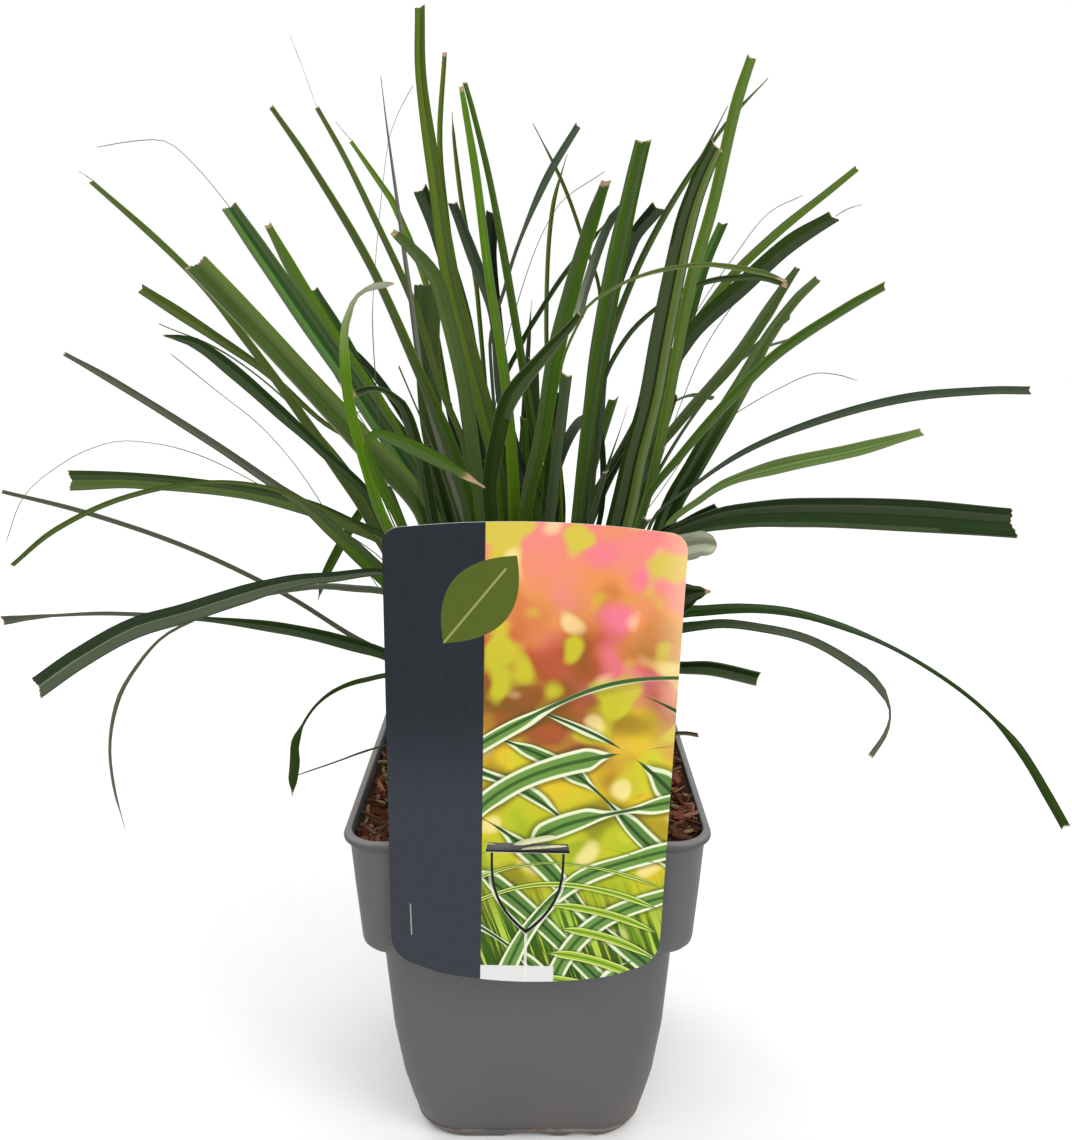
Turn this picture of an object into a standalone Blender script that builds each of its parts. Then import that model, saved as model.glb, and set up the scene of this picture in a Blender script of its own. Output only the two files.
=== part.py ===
"""Carex sedge in a square nursery pot, with a picture label hung on its rim.

Metres, +Z up. The origin is the middle of the pot's base, on the ground. +X is the
viewer's right, and the label hangs on the -Y side.
"""
import copy
import math
import random

import bmesh
import bpy
from mathutils import Matrix, Vector, noise
from mathutils.bvhtree import BVHTree

MM = 0.001
GAP = 0.3 * MM

# Driving sizes of the pot: half widths of its square outline at each height
LIP_TOP = 162 * MM
LIP_BOTTOM = 158.6 * MM
LIP_HALF = 75 * MM
COLLAR_TOP_HALF = 73 * MM
COLLAR_LOW_HALF = 70 * MM
COLLAR_LOW = 114 * MM
STEP_HEIGHT = 107 * MM
BODY_TOP_HALF = 62 * MM
FOOT_HEIGHT = 5 * MM
FOOT_HALF = 51.5 * MM
WALL = 1.3 * MM
CORNER = 14 * MM
CORNER_STEPS = 3
CORNER_EASE = 0.3
FOOT_ROUNDING = 1.5
BODY_TAPER = ((90, 61.2), (60, 59.6), (32, 56.8), (14, 54), (6, 52.6))

# The bark mix in the pot
SOIL_TOP = 153.5 * MM
SOIL_TILT = 0.03
SOIL_RELIEF = 1.6 * MM
SOIL_RINGS = 7
CHIP_PITCH = 18 * MM

# The label: a thin plastic sheet, its arched outline and its cut tongue
LABEL_HALF = 54.5 * MM
LABEL_TOP = LIP_TOP + 131 * MM
LABEL_BOTTOM = LIP_TOP - 62 * MM
LABEL_THICKNESS = 0.8 * MM
LABEL_FLARE = 0.03
LABEL_TILT = math.radians(1.35)
LABEL_SHIFT = 0.3 * MM
LABEL_TOP_RISE = 3 * MM
LABEL_BOTTOM_DROP = 6.5 * MM
LABEL_TOP_CORNER = 7 * MM
LABEL_BOTTOM_CORNER = 14 * MM
TONGUE_HALF = 13.7 * MM
TONGUE_TOP = LIP_TOP - 3.2 * MM
TONGUE_SHOULDER = 1.6 * MM
TONGUE_LENGTH = 33 * MM
TONGUE_GAP = 1 * MM
SLIT_HALF = 16.8 * MM
SLIT_HEIGHT = 4.4 * MM

# The tuft: shoots in two rings, each in a plain hole in the mix
OUTER_SHOOTS = 14
OUTER_RING = 28 * MM
INNER_SHOOTS = 7
INNER_RING = 13 * MM
SHEATH_RADIUS = 3.6 * MM
SHEATH_TIP_RADIUS = 2.7 * MM
SHEATH_SIDES = 6
SHEATH_DEPTH = 12 * MM
SHEATH_HEIGHT = 30 * MM
UPRIGHT_SLOPE = 0.36
ROOT_SPREAD = 1.9 * MM
ROOT_HEIGHT = 6 * MM
ROOT_RISE = 12 * MM
CROWDING = math.radians(1.2)
BLADE_THICKNESS = 0.7 * MM
BLADE_CLEARANCE = 0.5 * MM
NARROW = 2.8
BROAD = 9.0
LEAST_HALF_WIDTH = 0.55 * MM
FULL_FOLD_HALF = 2 * MM
LEAST_SEGMENTS = 4
MOST_SEGMENTS = 12
BEND_PER_SEGMENT = 20
TIP_NOTCH = 0.22
FACING_SHARE = 0.35
SHOWN_ROLL = (-16, 16)
SEEN_SHARE = 0.88
ROOT_SHARE = 0.5
DEPTH_POWER = 1.15

CUT = "cut"
FINE = "fine"

# The front view that the leaves were measured in: where the eye stands, how far it looks
# down, and the middle and scale of the picture in its own points
EYE = Vector((3.5 * MM, -449 * MM, 374 * MM))
LOOK_DOWN = math.radians(14.88)
VIEW_MIDDLE = (536, 570)
VIEW_SCALE = 1050

# Leaves as the front view shows them. Each row has how far back the tip stands in
# millimetres, the leaf's kind of end, and the picture points (x, y, width) that the leaf
# passes on its way from the crown to the tip.
SHOWN_LEAVES = (
    (30, CUT, (505, 505, 18), (466, 340, 19), (450, 275, 18), (434, 170, 14), (421, 75, 11), (420, 6, 10)),
    (60, CUT, (462, 330, 5), (446, 210, 5), (440, 140, 5), (445, 52, 4)),
    (20, CUT, (514, 500, 12), (505, 380, 10), (489, 276, 9), (476, 174, 8), (466, 114, 6), (461, 86, 4)),
    (35, CUT, (540, 480, 8), (530, 410, 8), (508, 276, 8), (490, 180, 6), (474, 114, 5), (465, 82, 4)),
    (60, FINE, (478, 300, 4), (462, 204, 4), (458, 174, 4), (454, 139, 3), (452, 112, 0)),
    (10, CUT, (471, 515, 15), (458, 467, 15), (447, 436, 14), (424, 382, 10), (371, 265, 8), (309, 161, 6),
     (271, 106, 4)),
    (50, CUT, (465, 450, 6), (442, 390, 6), (415, 306, 7), (373, 214, 6), (344, 155, 5), (317, 107, 4)),
    (95, CUT, (430, 300, 6), (395, 206, 6), (381, 184, 5), (351, 141, 3)),
    (-20, CUT, (470, 420, 14), (440, 285, 15), (428, 265, 14), (403, 239, 10), (392, 231, 5)),
    (70, CUT, (452, 510, 20), (433, 428, 23), (428, 352, 24), (428, 281, 27)),
    (95, CUT, (470, 350, 16), (440, 235, 16), (421, 188, 15)),
    (30, CUT, (544, 519, 13), (521, 469, 14), (503, 400, 12), (495, 314, 12), (475, 259, 12), (453, 202, 9)),
    (110, CUT, (505, 400, 10), (491, 260, 12), (493, 211, 13)),
    (85, CUT, (490, 350, 3), (506, 283, 3), (519, 242, 3), (547, 177, 7), (578, 125, 6)),
    (130, FINE, (600, 304, 3), (580, 230, 3), (562, 181, 3), (533, 123, 0)),
    (110, FINE, (561, 519, 9), (558, 469, 9), (548, 380, 4), (547, 283, 4), (553, 206, 4), (567, 154, 0)),
    (20, CUT, (526, 519, 13), (542, 434, 15), (556, 350, 17), (570, 294, 16), (590, 226, 14), (606, 180, 9)),
    (10, CUT, (577, 519, 12), (589, 420, 15), (600, 344, 19), (615, 263, 20), (633, 181, 17), (643, 139, 16)),
    (100, CUT, (600, 350, 11), (631, 242, 13), (658, 206, 14)),
    (-20, CUT, (622, 515, 27), (635, 456, 25), (650, 400, 23), (661, 340, 23), (684, 229, 21), (700, 180, 18), (717, 144, 15)),
    (15, CUT, (641, 515, 9), (664, 421, 10), (688, 290, 12), (712, 204, 12), (735, 105, 12), (751, 56, 10)),
    (60, FINE, (605, 360, 6), (631, 283, 6), (657, 229, 6), (685, 182, 5), (711, 144, 3), (733, 115, 3),
     (768, 78, 0)),
    (120, FINE, (597, 396, 4), (645, 252, 4), (700, 159, 3), (728, 105, 0)),
    (100, CUT, (660, 390, 8), (720, 290, 8), (773, 236, 8), (831, 189, 6), (857, 168, 5)),
    (40, CUT, (640, 430, 13), (688, 338, 15), (743, 285, 17), (789, 244, 16), (834, 216, 12)),
    (140, CUT, (660, 420, 9), (691, 311, 11), (706, 262, 10), (723, 223, 9)),
    (-45, FINE, (560, 380, 2), (586, 308, 2), (602, 295, 2), (631, 279, 2), (664, 269, 3), (704, 264, 3),
     (735, 267, 4), (766, 273, 4), (787, 281, 0)),
    (20, CUT, (590, 400, 4), (616, 336, 4), (662, 293, 3), (698, 277, 4), (725, 273, 5), (751, 272, 5),
     (776, 280, 3)),
    (20, CUT, (640, 480, 8), (680, 426, 9), (740, 361, 12), (774, 314, 12), (790, 290, 9), (807, 267, 5)),
    (45, CUT, (670, 509, 20), (694, 466, 20), (720, 421, 20), (747, 375, 17), (766, 340, 12), (795, 300, 9),
     (818, 278, 7)),
    (0, CUT, (645, 504, 6), (680, 455, 8), (734, 394, 10), (779, 351, 10), (849, 305, 9), (885, 285, 7)),
    (60, CUT, (650, 525, 3), (699, 481, 3), (752, 447, 5), (828, 417, 7), (908, 397, 8), (988, 390, 7),
     (1030, 390, 7)),
    (-10, CUT, (665, 530, 5), (704, 496, 6), (728, 481, 8), (779, 465, 14), (854, 449, 13), (922, 431, 7)),
    (-35, CUT, (660, 545, 12), (690, 527, 16), (734, 516, 23), (801, 512, 28), (908, 515, 31), (1015, 523, 28)),
    (-60, FINE, (650, 612, 26), (672, 603, 28), (686, 595, 26), (698, 592, 13), (711, 591, 0)),
    (-60, CUT, (650, 622, 15), (711, 609, 10), (774, 609, 8), (828, 621, 6), (890, 646, 3), (947, 680, 3),
     (989, 714, 3), (1020, 750, 8), (1050, 800, 9), (1065, 827, 9)),
    (-85, CUT, (650, 640, 13), (711, 623, 9), (756, 626, 8), (810, 639, 8), (863, 670, 9), (881, 689, 7),
     (889, 705, 2), (890, 718, 2), (885, 734, 4), (870, 756, 5)),
    (-70, CUT, (650, 662, 12), (678, 666, 12), (711, 667, 14), (760, 678, 14)),
    (-10, CUT, (430, 520, 24), (364, 442, 25), (284, 355, 24), (244, 312, 24), (195, 261, 24)),
    (80, CUT, (372, 520, 12), (337, 466, 12), (290, 398, 9), (247, 340, 8), (203, 285, 6), (158, 240, 6),
     (91, 181, 4)),
    (115, CUT, (375, 462, 4), (320, 419, 4), (266, 371, 7), (223, 341, 9), (179, 312, 11), (141, 288, 9)),
    (40, FINE, (375, 505, 9), (320, 448, 9), (277, 408, 13), (234, 370, 14), (199, 344, 11), (181, 338, 6),
     (163, 335, 0)),
    (-25, CUT, (395, 590, 16), (362, 555, 17), (335, 531, 14), (308, 507, 11), (277, 486, 8), (212, 442, 7),
     (114, 381, 6), (64, 353, 3)),
    (10, CUT, (395, 550, 13), (348, 523, 13), (308, 507, 15), (241, 491, 13), (134, 480, 15), (69, 480, 19)),
    (-50, CUT, (380, 545, 3), (330, 512, 3), (268, 487, 3), (201, 482, 3), (121, 498, 4), (54, 530, 4),
     (12, 565, 3)),
    (70, CUT, (400, 665, 5), (348, 633, 4), (284, 593, 4), (188, 547, 4), (86, 512, 4), (2, 491, 3)),
    (-85, CUT, (400, 580, 5), (321, 577, 10), (281, 583, 14), (241, 594, 18), (188, 611, 19), (134, 627, 20),
     (80, 657, 20), (36, 688, 20)),
    (-60, FINE, (400, 600, 6), (346, 587, 6), (308, 587, 4), (241, 600, 2), (193, 620, 2), (161, 638, 2),
     (134, 670, 3), (118, 700, 4), (110, 743, 3), (114, 786, 3), (125, 828, 0)),
    (-50, CUT, (400, 662, 11), (348, 642, 13), (281, 627, 11), (198, 618, 4), (112, 613, 3), (54, 615, 2),
     (30, 617, 4), (2, 620, 8)),
    (90, FINE, (390, 490, 7), (368, 503, 8), (352, 525, 9), (335, 555, 9), (324, 578, 8), (318, 600, 0)),
    (-75, FINE, (400, 677, 4), (362, 680, 4), (335, 690, 3), (316, 705, 2), (303, 724, 2), (296, 743, 9),
     (296, 761, 11), (294, 778, 10), (292, 795, 0)),
    (30, CUT, (425, 500, 18), (370, 408, 20), (309, 320, 21), (266, 258, 19), (229, 205, 16)),
    (90, CUT, (404, 447, 10), (330, 330, 12), (294, 271, 12), (268, 224, 7)),
    (120, CUT, (433, 480, 12), (385, 411, 12), (340, 333, 12), (314, 289, 8)),
    (-30, FINE, (385, 520, 11), (368, 470, 11), (351, 407, 11), (346, 367, 11), (345, 329, 8), (349, 314, 6),
     (354, 300, 4), (361, 292, 2), (369, 288, 4), (378, 285, 6), (387, 284, 5), (394, 283, 0)),
    (-10, FINE, (425, 470, 12), (418, 448, 12), (410, 422, 12), (403, 405, 9), (393, 396, 7), (384, 390, 4),
     (370, 388, 5), (358, 392, 7), (347, 396, 0)),
    (-60, FINE, (400, 520, 9), (385, 490, 10), (370, 455, 8), (368, 437, 5), (377, 433, 8), (393, 438, 11),
     (415, 448, 14), (439, 460, 13), (458, 471, 8), (485, 487, 0)),
    (-30, CUT, (490, 500, 14), (500, 426, 16), (511, 395, 17), (547, 351, 12), (568, 328, 8), (580, 313, 5)),
    (-45, CUT, (655, 556, 26), (672, 549, 28), (690, 545, 28), (704, 543, 27), (717, 545, 25)),
    (-20, CUT, (660, 535, 9), (680, 525, 9), (700, 514, 9), (718, 506, 9)),
    (30, CUT, (597, 440, 9), (602, 380, 9), (610, 320, 9), (619, 270, 9), (625, 230, 8), (621, 208, 7),
     (610, 222, 8), (599, 248, 9), (590, 275, 9), (583, 297, 9), (579, 316, 10)),
    (60, FINE, (500, 400, 4), (523, 340, 4), (537, 316, 4), (562, 277, 4), (590, 242, 4), (607, 221, 0)),
    (70, CUT, (597, 519, 5), (600, 469, 6), (596, 414, 5), (594, 385, 4)),
    (60, CUT, (583, 519, 9), (604, 480, 10), (627, 441, 10), (645, 405, 9), (660, 370, 8), (672, 330, 6)),
)

# The leaves behind, in front and between: bands of directions round the crown, in
# degrees, each with its number of leaves, their lengths and how far they lean at the tip
FILL_BANDS = (
    (50, 130, 9, (150, 200), (20, 45)),
    (25, 155, 9, (210, 290), (60, 105)),
    (200, 340, 8, (95, 132), (18, 40)),
    (0, 360, 12, (120, 185), (8, 28)),
)
FILL_START_LEAN = (6, 20)
FILL_WIDTHS = (3.2, 9.5)
FILL_ROLL = (-55, 55)
FILL_CUT_SHARE = 0.75
FILL_SEED = 7


def clear_scene():
    for item in list(bpy.data.objects):
        bpy.data.objects.remove(item, do_unlink=True)


def new_collection(name):
    collection = bpy.data.collections.new(name)
    bpy.context.scene.collection.children.link(collection)
    return collection


def material(name, colour, roughness, metallic=0.0):
    """A Principled material with one colour."""
    made = bpy.data.materials.new(name)
    made.use_nodes = True
    shader = made.node_tree.nodes["Principled BSDF"]
    shader.inputs["Base Color"].default_value = (*colour, 1.0)
    shader.inputs["Roughness"].default_value = roughness
    shader.inputs["Metallic"].default_value = metallic
    made.diffuse_color = (*colour, 1.0)
    return made


def object_from(bm, name, collection, finish=None):
    """A named object that takes over a bmesh."""
    mesh = bpy.data.meshes.new(name)
    bm.to_mesh(mesh)
    bm.free()
    made = bpy.data.objects.new(name, mesh)
    collection.objects.link(made)
    if finish:
        mesh.materials.append(finish)
    return made


def apply_modifiers(target):
    """Keep what the modifiers make as the object's own mesh."""
    bpy.context.view_layer.update()
    graph = bpy.context.evaluated_depsgraph_get()
    mesh = bpy.data.meshes.new_from_object(target.evaluated_get(graph))
    target.modifiers.clear()
    target.data = mesh


def boolean(target, operation, solver, operand=None, operands=None):
    """One Boolean with an object or a collection, applied."""
    cut = target.modifiers.new(operation.title(), "BOOLEAN")
    cut.operation = operation
    cut.solver = solver
    if operands:
        cut.operand_type = "COLLECTION"
        cut.collection = operands
    else:
        cut.object = operand
    apply_modifiers(target)


def drop_scraps(target):
    """Keep an object's main body: loose scraps go, and sealed hollows are filled."""
    bm = bmesh.new()
    bm.from_mesh(target.data)
    bodies = []
    unseen = set(bm.verts)
    while unseen:
        body = {unseen.pop()}
        front = list(body)
        while front:
            for edge in front.pop().link_edges:
                for vert in edge.verts:
                    if vert in unseen:
                        unseen.discard(vert)
                        body.add(vert)
                        front.append(vert)
        bodies.append(body)
    bodies.sort(key=len)
    for body in bodies[:-1]:
        bmesh.ops.delete(bm, geom=list(body), context="VERTS")
    bm.to_mesh(target.data)
    bm.free()
    return len(bodies) - 1


def discard(items):
    for item in list(items):
        bpy.data.objects.remove(item, do_unlink=True)


def square_ring(bm, half, corner, height):
    """A ring of vertices: a square with round corners, counterclockwise from above."""
    ring = []
    inset = half - corner
    for quarter in range(4):
        middle = Vector((inset, inset, 0))
        middle.rotate(Matrix.Rotation(quarter * math.pi / 2, 3, "Z"))
        for step in range(CORNER_STEPS + 1):
            angle = (quarter + step / CORNER_STEPS) * math.pi / 2
            place = middle + corner * Vector((math.cos(angle), math.sin(angle), 0))
            ring.append(bm.verts.new((place.x, place.y, height)))
    return ring


def loft(bm, rings):
    """Join rings in order and close both ends."""
    count = len(rings[0])
    bm.faces.new(reversed(rings[0]))
    for low, high in zip(rings, rings[1:]):
        for i in range(count):
            j = (i + 1) % count
            bm.faces.new((low[i], low[j], high[j], high[i]))
    bm.faces.new(rings[-1])


def corner_at(half):
    """Corner radius of the pot for a half width: tighter down the collar, rounder at the foot."""
    below_step = max(BODY_TOP_HALF - half, 0)
    return CORNER - (LIP_HALF - half) * CORNER_EASE + below_step * FOOT_ROUNDING


def body_stations():
    """Outline of the pot's tapering body from the step down: (height, half width)."""
    return [(STEP_HEIGHT - 1.5 * MM, BODY_TOP_HALF)] + [(z * MM, h * MM) for z, h in BODY_TAPER]


def make_pot(collection, finish):
    """One moulded cup: foot ring, body, step, collar, rolled lip and the inside back down."""
    bm = bmesh.new()
    floor_top = FOOT_HEIGHT + WALL
    outline = [
        (FOOT_HALF - 4 * MM, FOOT_HEIGHT),
        (FOOT_HALF - 4.5 * MM, 0),
        (FOOT_HALF - 1.2 * MM, 0),
        (FOOT_HALF, 1.4 * MM),
    ]
    outline += [(half, height) for height, half in reversed(body_stations())]
    outline += [
        (BODY_TOP_HALF + 1.5 * MM, STEP_HEIGHT),
        (COLLAR_LOW_HALF - 2.5 * MM, STEP_HEIGHT + 1 * MM),
        (COLLAR_LOW_HALF - 0.4 * MM, STEP_HEIGHT + 3.4 * MM),
        (COLLAR_LOW_HALF, COLLAR_LOW),
        (COLLAR_TOP_HALF, LIP_BOTTOM),
        (LIP_HALF, LIP_BOTTOM + 0.2 * MM),
        (LIP_HALF, LIP_TOP - 0.8 * MM),
        (LIP_HALF - 0.8 * MM, LIP_TOP),
        (COLLAR_TOP_HALF - WALL + 0.4 * MM, LIP_TOP),
        (COLLAR_TOP_HALF - WALL, LIP_TOP - 0.8 * MM),
        (COLLAR_LOW_HALF - WALL, COLLAR_LOW),
        (COLLAR_LOW_HALF - WALL - 2 * MM, STEP_HEIGHT + WALL + 1 * MM),
        (BODY_TOP_HALF - WALL + 1 * MM, STEP_HEIGHT + WALL),
    ]
    outline += [(half - WALL, height) for height, half in body_stations()[:-1]]
    outline += [(FOOT_HALF - WALL, floor_top)]
    rings = []
    for half, height in outline:
        rings.append(square_ring(bm, half, corner_at(half), height))
    loft(bm, rings)
    pot = object_from(bm, "pot", collection, finish)
    cutters = new_collection("pot_cutters")
    cut_drainage(pot, cutters)
    pot.data.shade_smooth()
    pot.data.set_sharp_from_angle(angle=math.radians(35))
    return pot


def add_cylinder(name, collection, radius, depth, place, sides=12, turn=None):
    bm = bmesh.new()
    bmesh.ops.create_cone(
        bm, cap_ends=True, segments=sides, radius1=radius, radius2=radius, depth=depth
    )
    if turn:
        bm.transform(turn)
    made = object_from(bm, name, collection)
    made.location = place
    made.hide_render = True
    made.display_type = "WIRE"
    return made


def cut_drainage(pot, cutters):
    """Drain holes through the floor, and arched notches in the foot ring between its feet."""
    hole_radius = 4.5 * MM
    hole_ring = 36 * MM
    notch_depth = 3.3 * MM
    notches = ((0, 13 * MM), (24 * MM, 7.5 * MM))
    foot_centre_radius = 12 * MM
    boss = add_cylinder(
        "centre_foot", cutters, foot_centre_radius, FOOT_HEIGHT + 0.6 * MM,
        (0, 0, (FOOT_HEIGHT + 0.6 * MM) / 2), sides=16,
    )
    boolean(pot, "UNION", "EXACT", operand=boss)
    for corner in range(4):
        angle = (corner + 0.5) * math.pi / 2
        place = (hole_ring * math.cos(angle), hole_ring * math.sin(angle), FOOT_HEIGHT)
        add_cylinder("drain_hole", cutters, hole_radius, 12 * MM, place, sides=10)
    for side in range(4):
        face = Matrix.Rotation(side * math.pi / 2, 4, "Z")
        turn = face @ Matrix.Rotation(math.pi / 2, 4, "X")
        for offset, half_width in notches:
            radius = (half_width ** 2 + notch_depth ** 2) / (2 * notch_depth)
            place = face @ Vector((offset, 2 * MM - FOOT_HALF, notch_depth - radius))
            add_cylinder("notch", cutters, radius, 14 * MM, place, 36, turn)
    discard([boss])
    boolean(pot, "DIFFERENCE", "EXACT", operands=cutters)
    discard(cutters.objects)


def soil_height(x, y):
    """Top of the mix: nearly flush with the lip on the right, lower on the left."""
    bumps = noise.noise(Vector((x, y, 0)) * 90) + 0.6 * noise.noise(Vector((x, y, 3)) * 210)
    return SOIL_TOP + SOIL_TILT * x + SOIL_RELIEF * bumps


def shoot_places():
    """Where the shoots stand: name, direction and place on the ground plan."""
    places = []
    for ring, count, radius, turn in (
        ("outer", OUTER_SHOOTS, OUTER_RING, 0.0),
        ("inner", INNER_SHOOTS, INNER_RING, math.pi / INNER_SHOOTS),
    ):
        for i in range(count):
            angle = turn + i * 2 * math.pi / count
            places.append((ring, angle, Vector((radius * math.cos(angle), radius * math.sin(angle), 0))))
    return places


def make_mix(collection, finish):
    """Bark and coir mix: a block that fits the pot, chips raised from its top, and holes."""
    bm = bmesh.new()
    slack = WALL + GAP
    wall = [(half - slack, height) for height, half in reversed(body_stations()[:-1])]
    shoulder = SOIL_TOP - 5 * MM
    rise = (shoulder - COLLAR_LOW) / (LIP_BOTTOM - COLLAR_LOW)
    top_half = COLLAR_LOW_HALF + (COLLAR_TOP_HALF - COLLAR_LOW_HALF) * rise - slack - GAP
    outline = [(FOOT_HALF - slack - 0.6 * MM, FOOT_HEIGHT + WALL + GAP)] + wall
    outline += [
        (BODY_TOP_HALF - slack, STEP_HEIGHT + slack),
        (COLLAR_LOW_HALF - slack - 2.6 * MM, STEP_HEIGHT + slack + 1.4 * MM),
        (COLLAR_LOW_HALF - slack, COLLAR_LOW + GAP),
        (top_half, shoulder),
    ]
    rings = []
    for half, height in outline:
        rings.append(square_ring(bm, half, corner_at(half), height))
    for i in range(SOIL_RINGS):
        share = 1 - i / SOIL_RINGS
        ring = square_ring(bm, top_half * share, CORNER * share, 0)
        for vert in ring:
            vert.co.z = soil_height(vert.co.x, vert.co.y)
        rings.append(ring)
    loft(bm, rings)
    bmesh.ops.triangulate(bm, faces=bm.faces[:])
    mix = object_from(bm, "potting_mix", collection, finish)
    working = new_collection("mix_working")
    boolean(mix, "UNION", "MANIFOLD", operand=bark_chips(working, top_half))
    discard(working.objects)
    for ring, angle, place in shoot_places():
        middle = place + Vector((0, 0, SOIL_TOP + 10 * MM))
        depth = 2 * (SHEATH_DEPTH + GAP + 10 * MM)
        add_cylinder("shoot_hole", working, SHEATH_RADIUS + 1.2 * GAP, depth, middle, SHEATH_SIDES)
    boolean(mix, "DIFFERENCE", "MANIFOLD", operands=working)
    discard(working.objects)
    drop_scraps(mix)
    return mix


def bark_chips(collection, reach):
    """Angular bark chips on a jittered grid, each sunk by half into the top of the mix."""
    rng = random.Random(3)
    bm = bmesh.new()
    cells = int(2 * reach / CHIP_PITCH)
    start = -CHIP_PITCH * (cells - 1) / 2
    for row in range(cells):
        for column in range(cells):
            x = start + column * CHIP_PITCH + rng.uniform(-1, 1) * MM
            y = start + row * CHIP_PITCH + rng.uniform(-1, 1) * MM
            length = rng.uniform(7, 10.5) * MM
            size = (length, rng.uniform(3, 6) * MM, rng.uniform(1.8, 3) * MM)
            turn = Matrix.Rotation(rng.uniform(0, math.pi), 4, "Z")
            tip = Matrix.Rotation(math.radians(rng.uniform(-22, 22)), 4, "Y")
            roll = Matrix.Rotation(math.radians(rng.uniform(-25, 25)), 4, "X")
            near_crown = math.hypot(x, y) < OUTER_RING + SHEATH_RADIUS + length / 2 + 1 * MM
            near_wall = max(abs(x), abs(y)) > reach - 6 * MM
            near_corner = abs(x) + abs(y) > 2 * reach - 20 * MM
            if near_crown or near_wall or near_corner:
                continue
            place = Matrix.Translation((x, y, soil_height(x, y) + 0.4 * MM))
            shape = place @ turn @ tip @ roll @ Matrix.Diagonal((*size, 1))
            made = bmesh.ops.create_cube(bm, size=1, matrix=shape)["verts"]
            for vert in made:
                if rng.random() < 0.5:
                    vert.co += Vector((rng.uniform(-1, 1), rng.uniform(-1, 1), 0)) * 0.8 * MM
    bmesh.ops.triangulate(bm, faces=bm.faces[:])
    return object_from(bm, "chips", collection)


def arc(middle_x, middle_z, radius, start, end, steps=5):
    """Points of a circle's arc, angles in degrees."""
    points = []
    for i in range(steps + 1):
        angle = math.radians(start + (end - start) * i / steps)
        points.append((middle_x + radius * math.cos(angle), middle_z + radius * math.sin(angle)))
    return points


def flared(points):
    """The label is a little wider at its top than where it meets the lip."""
    wide = []
    for x, z in points:
        share = max(z - LIP_TOP, 0) / (LABEL_TOP - LIP_TOP)
        wide.append((x * (1 + LABEL_FLARE * share), z))
    return wide


def label_outline():
    """Outer edge of the label: straight sides, an arched top and a fuller, rounded foot."""
    upper = LABEL_HALF - LABEL_TOP_CORNER
    lower = LABEL_HALF - LABEL_BOTTOM_CORNER
    top = LABEL_TOP - LABEL_TOP_RISE
    bottom = LABEL_BOTTOM + LABEL_BOTTOM_DROP
    arched = 8
    points = arc(upper, top - LABEL_TOP_CORNER, LABEL_TOP_CORNER, 0, 82)
    for i in range(1, arched):
        x = upper * (1 - 2 * i / arched)
        points.append((x, LABEL_TOP - LABEL_TOP_RISE * (x / upper) ** 2))
    points += arc(-upper, top - LABEL_TOP_CORNER, LABEL_TOP_CORNER, 98, 180)
    points += arc(-lower, bottom + LABEL_BOTTOM_CORNER, LABEL_BOTTOM_CORNER, 180, 258)
    for i in range(1, arched):
        x = -lower * (1 - 2 * i / arched)
        points.append((x, LABEL_BOTTOM + LABEL_BOTTOM_DROP * (x / LABEL_HALF) ** 2 * 1.3))
    points += arc(lower, bottom + LABEL_BOTTOM_CORNER, LABEL_BOTTOM_CORNER, 282, 360)
    return flared(points)


def tongue_edge(offset, steps=8):
    """One side of the shield-shaped tongue, from its shoulder down to its tip."""
    points = []
    for i in range(steps + 1):
        share = i / steps
        x = (TONGUE_HALF + offset) * (1 - share ** 2.8)
        points.append((x, TONGUE_TOP - TONGUE_SHOULDER - (TONGUE_LENGTH + 2 * offset) * share))
    return points


def tongue_gap():
    """The narrow cut that frees the tongue at its sides and widens towards its tip."""
    outer = tongue_edge(TONGUE_GAP)
    inner = tongue_edge(0)
    right = [(x, z) for x, z in outer]
    left = [(-x, z) for x, z in reversed(outer[:-1])]
    back_left = [(-x, z) for x, z in inner[:-1]]
    back_right = [(x, z) for x, z in reversed(inner)]
    return right + left + back_left + back_right


def make_label(collection, finish):
    """A flat sheet in front of the lip, with the slit and the tongue's cut through it."""
    slit_top = TONGUE_TOP + SLIT_HEIGHT
    slit_top_half = SLIT_HALF - 1 * MM
    slit = [(-SLIT_HALF, TONGUE_TOP), (SLIT_HALF, TONGUE_TOP)]
    slit += [(slit_top_half, slit_top), (-slit_top_half, slit_top)]
    sheet = bpy.data.curves.new("label", "CURVE")
    sheet.dimensions = "2D"
    sheet.fill_mode = "BOTH"
    sheet.extrude = LABEL_THICKNESS / 2
    for outline in (label_outline(), slit, tongue_gap()):
        spline = sheet.splines.new("POLY")
        spline.points.add(len(outline) - 1)
        for point, (x, z) in zip(spline.points, outline):
            point.co = (x, z, 0, 1)
        spline.use_cyclic_u = True
    flat = bpy.data.objects.new("label_outline", sheet)
    collection.objects.link(flat)
    bpy.context.view_layer.update()
    graph = bpy.context.evaluated_depsgraph_get()
    bm = bmesh.new()
    bm.from_mesh(flat.evaluated_get(graph).to_mesh())
    bpy.data.objects.remove(flat, do_unlink=True)
    bmesh.ops.remove_doubles(bm, verts=bm.verts[:], dist=0.01 * MM)
    bmesh.ops.recalc_face_normals(bm, faces=bm.faces[:])
    label = object_from(bm, "label", collection, finish)
    label.rotation_euler = (math.pi / 2, LABEL_TILT, 0)
    across = LABEL_SHIFT - LIP_TOP * math.tan(LABEL_TILT)
    label.location = (across, -(LIP_HALF + GAP + LABEL_THICKNESS / 2), 0)
    return label


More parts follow.
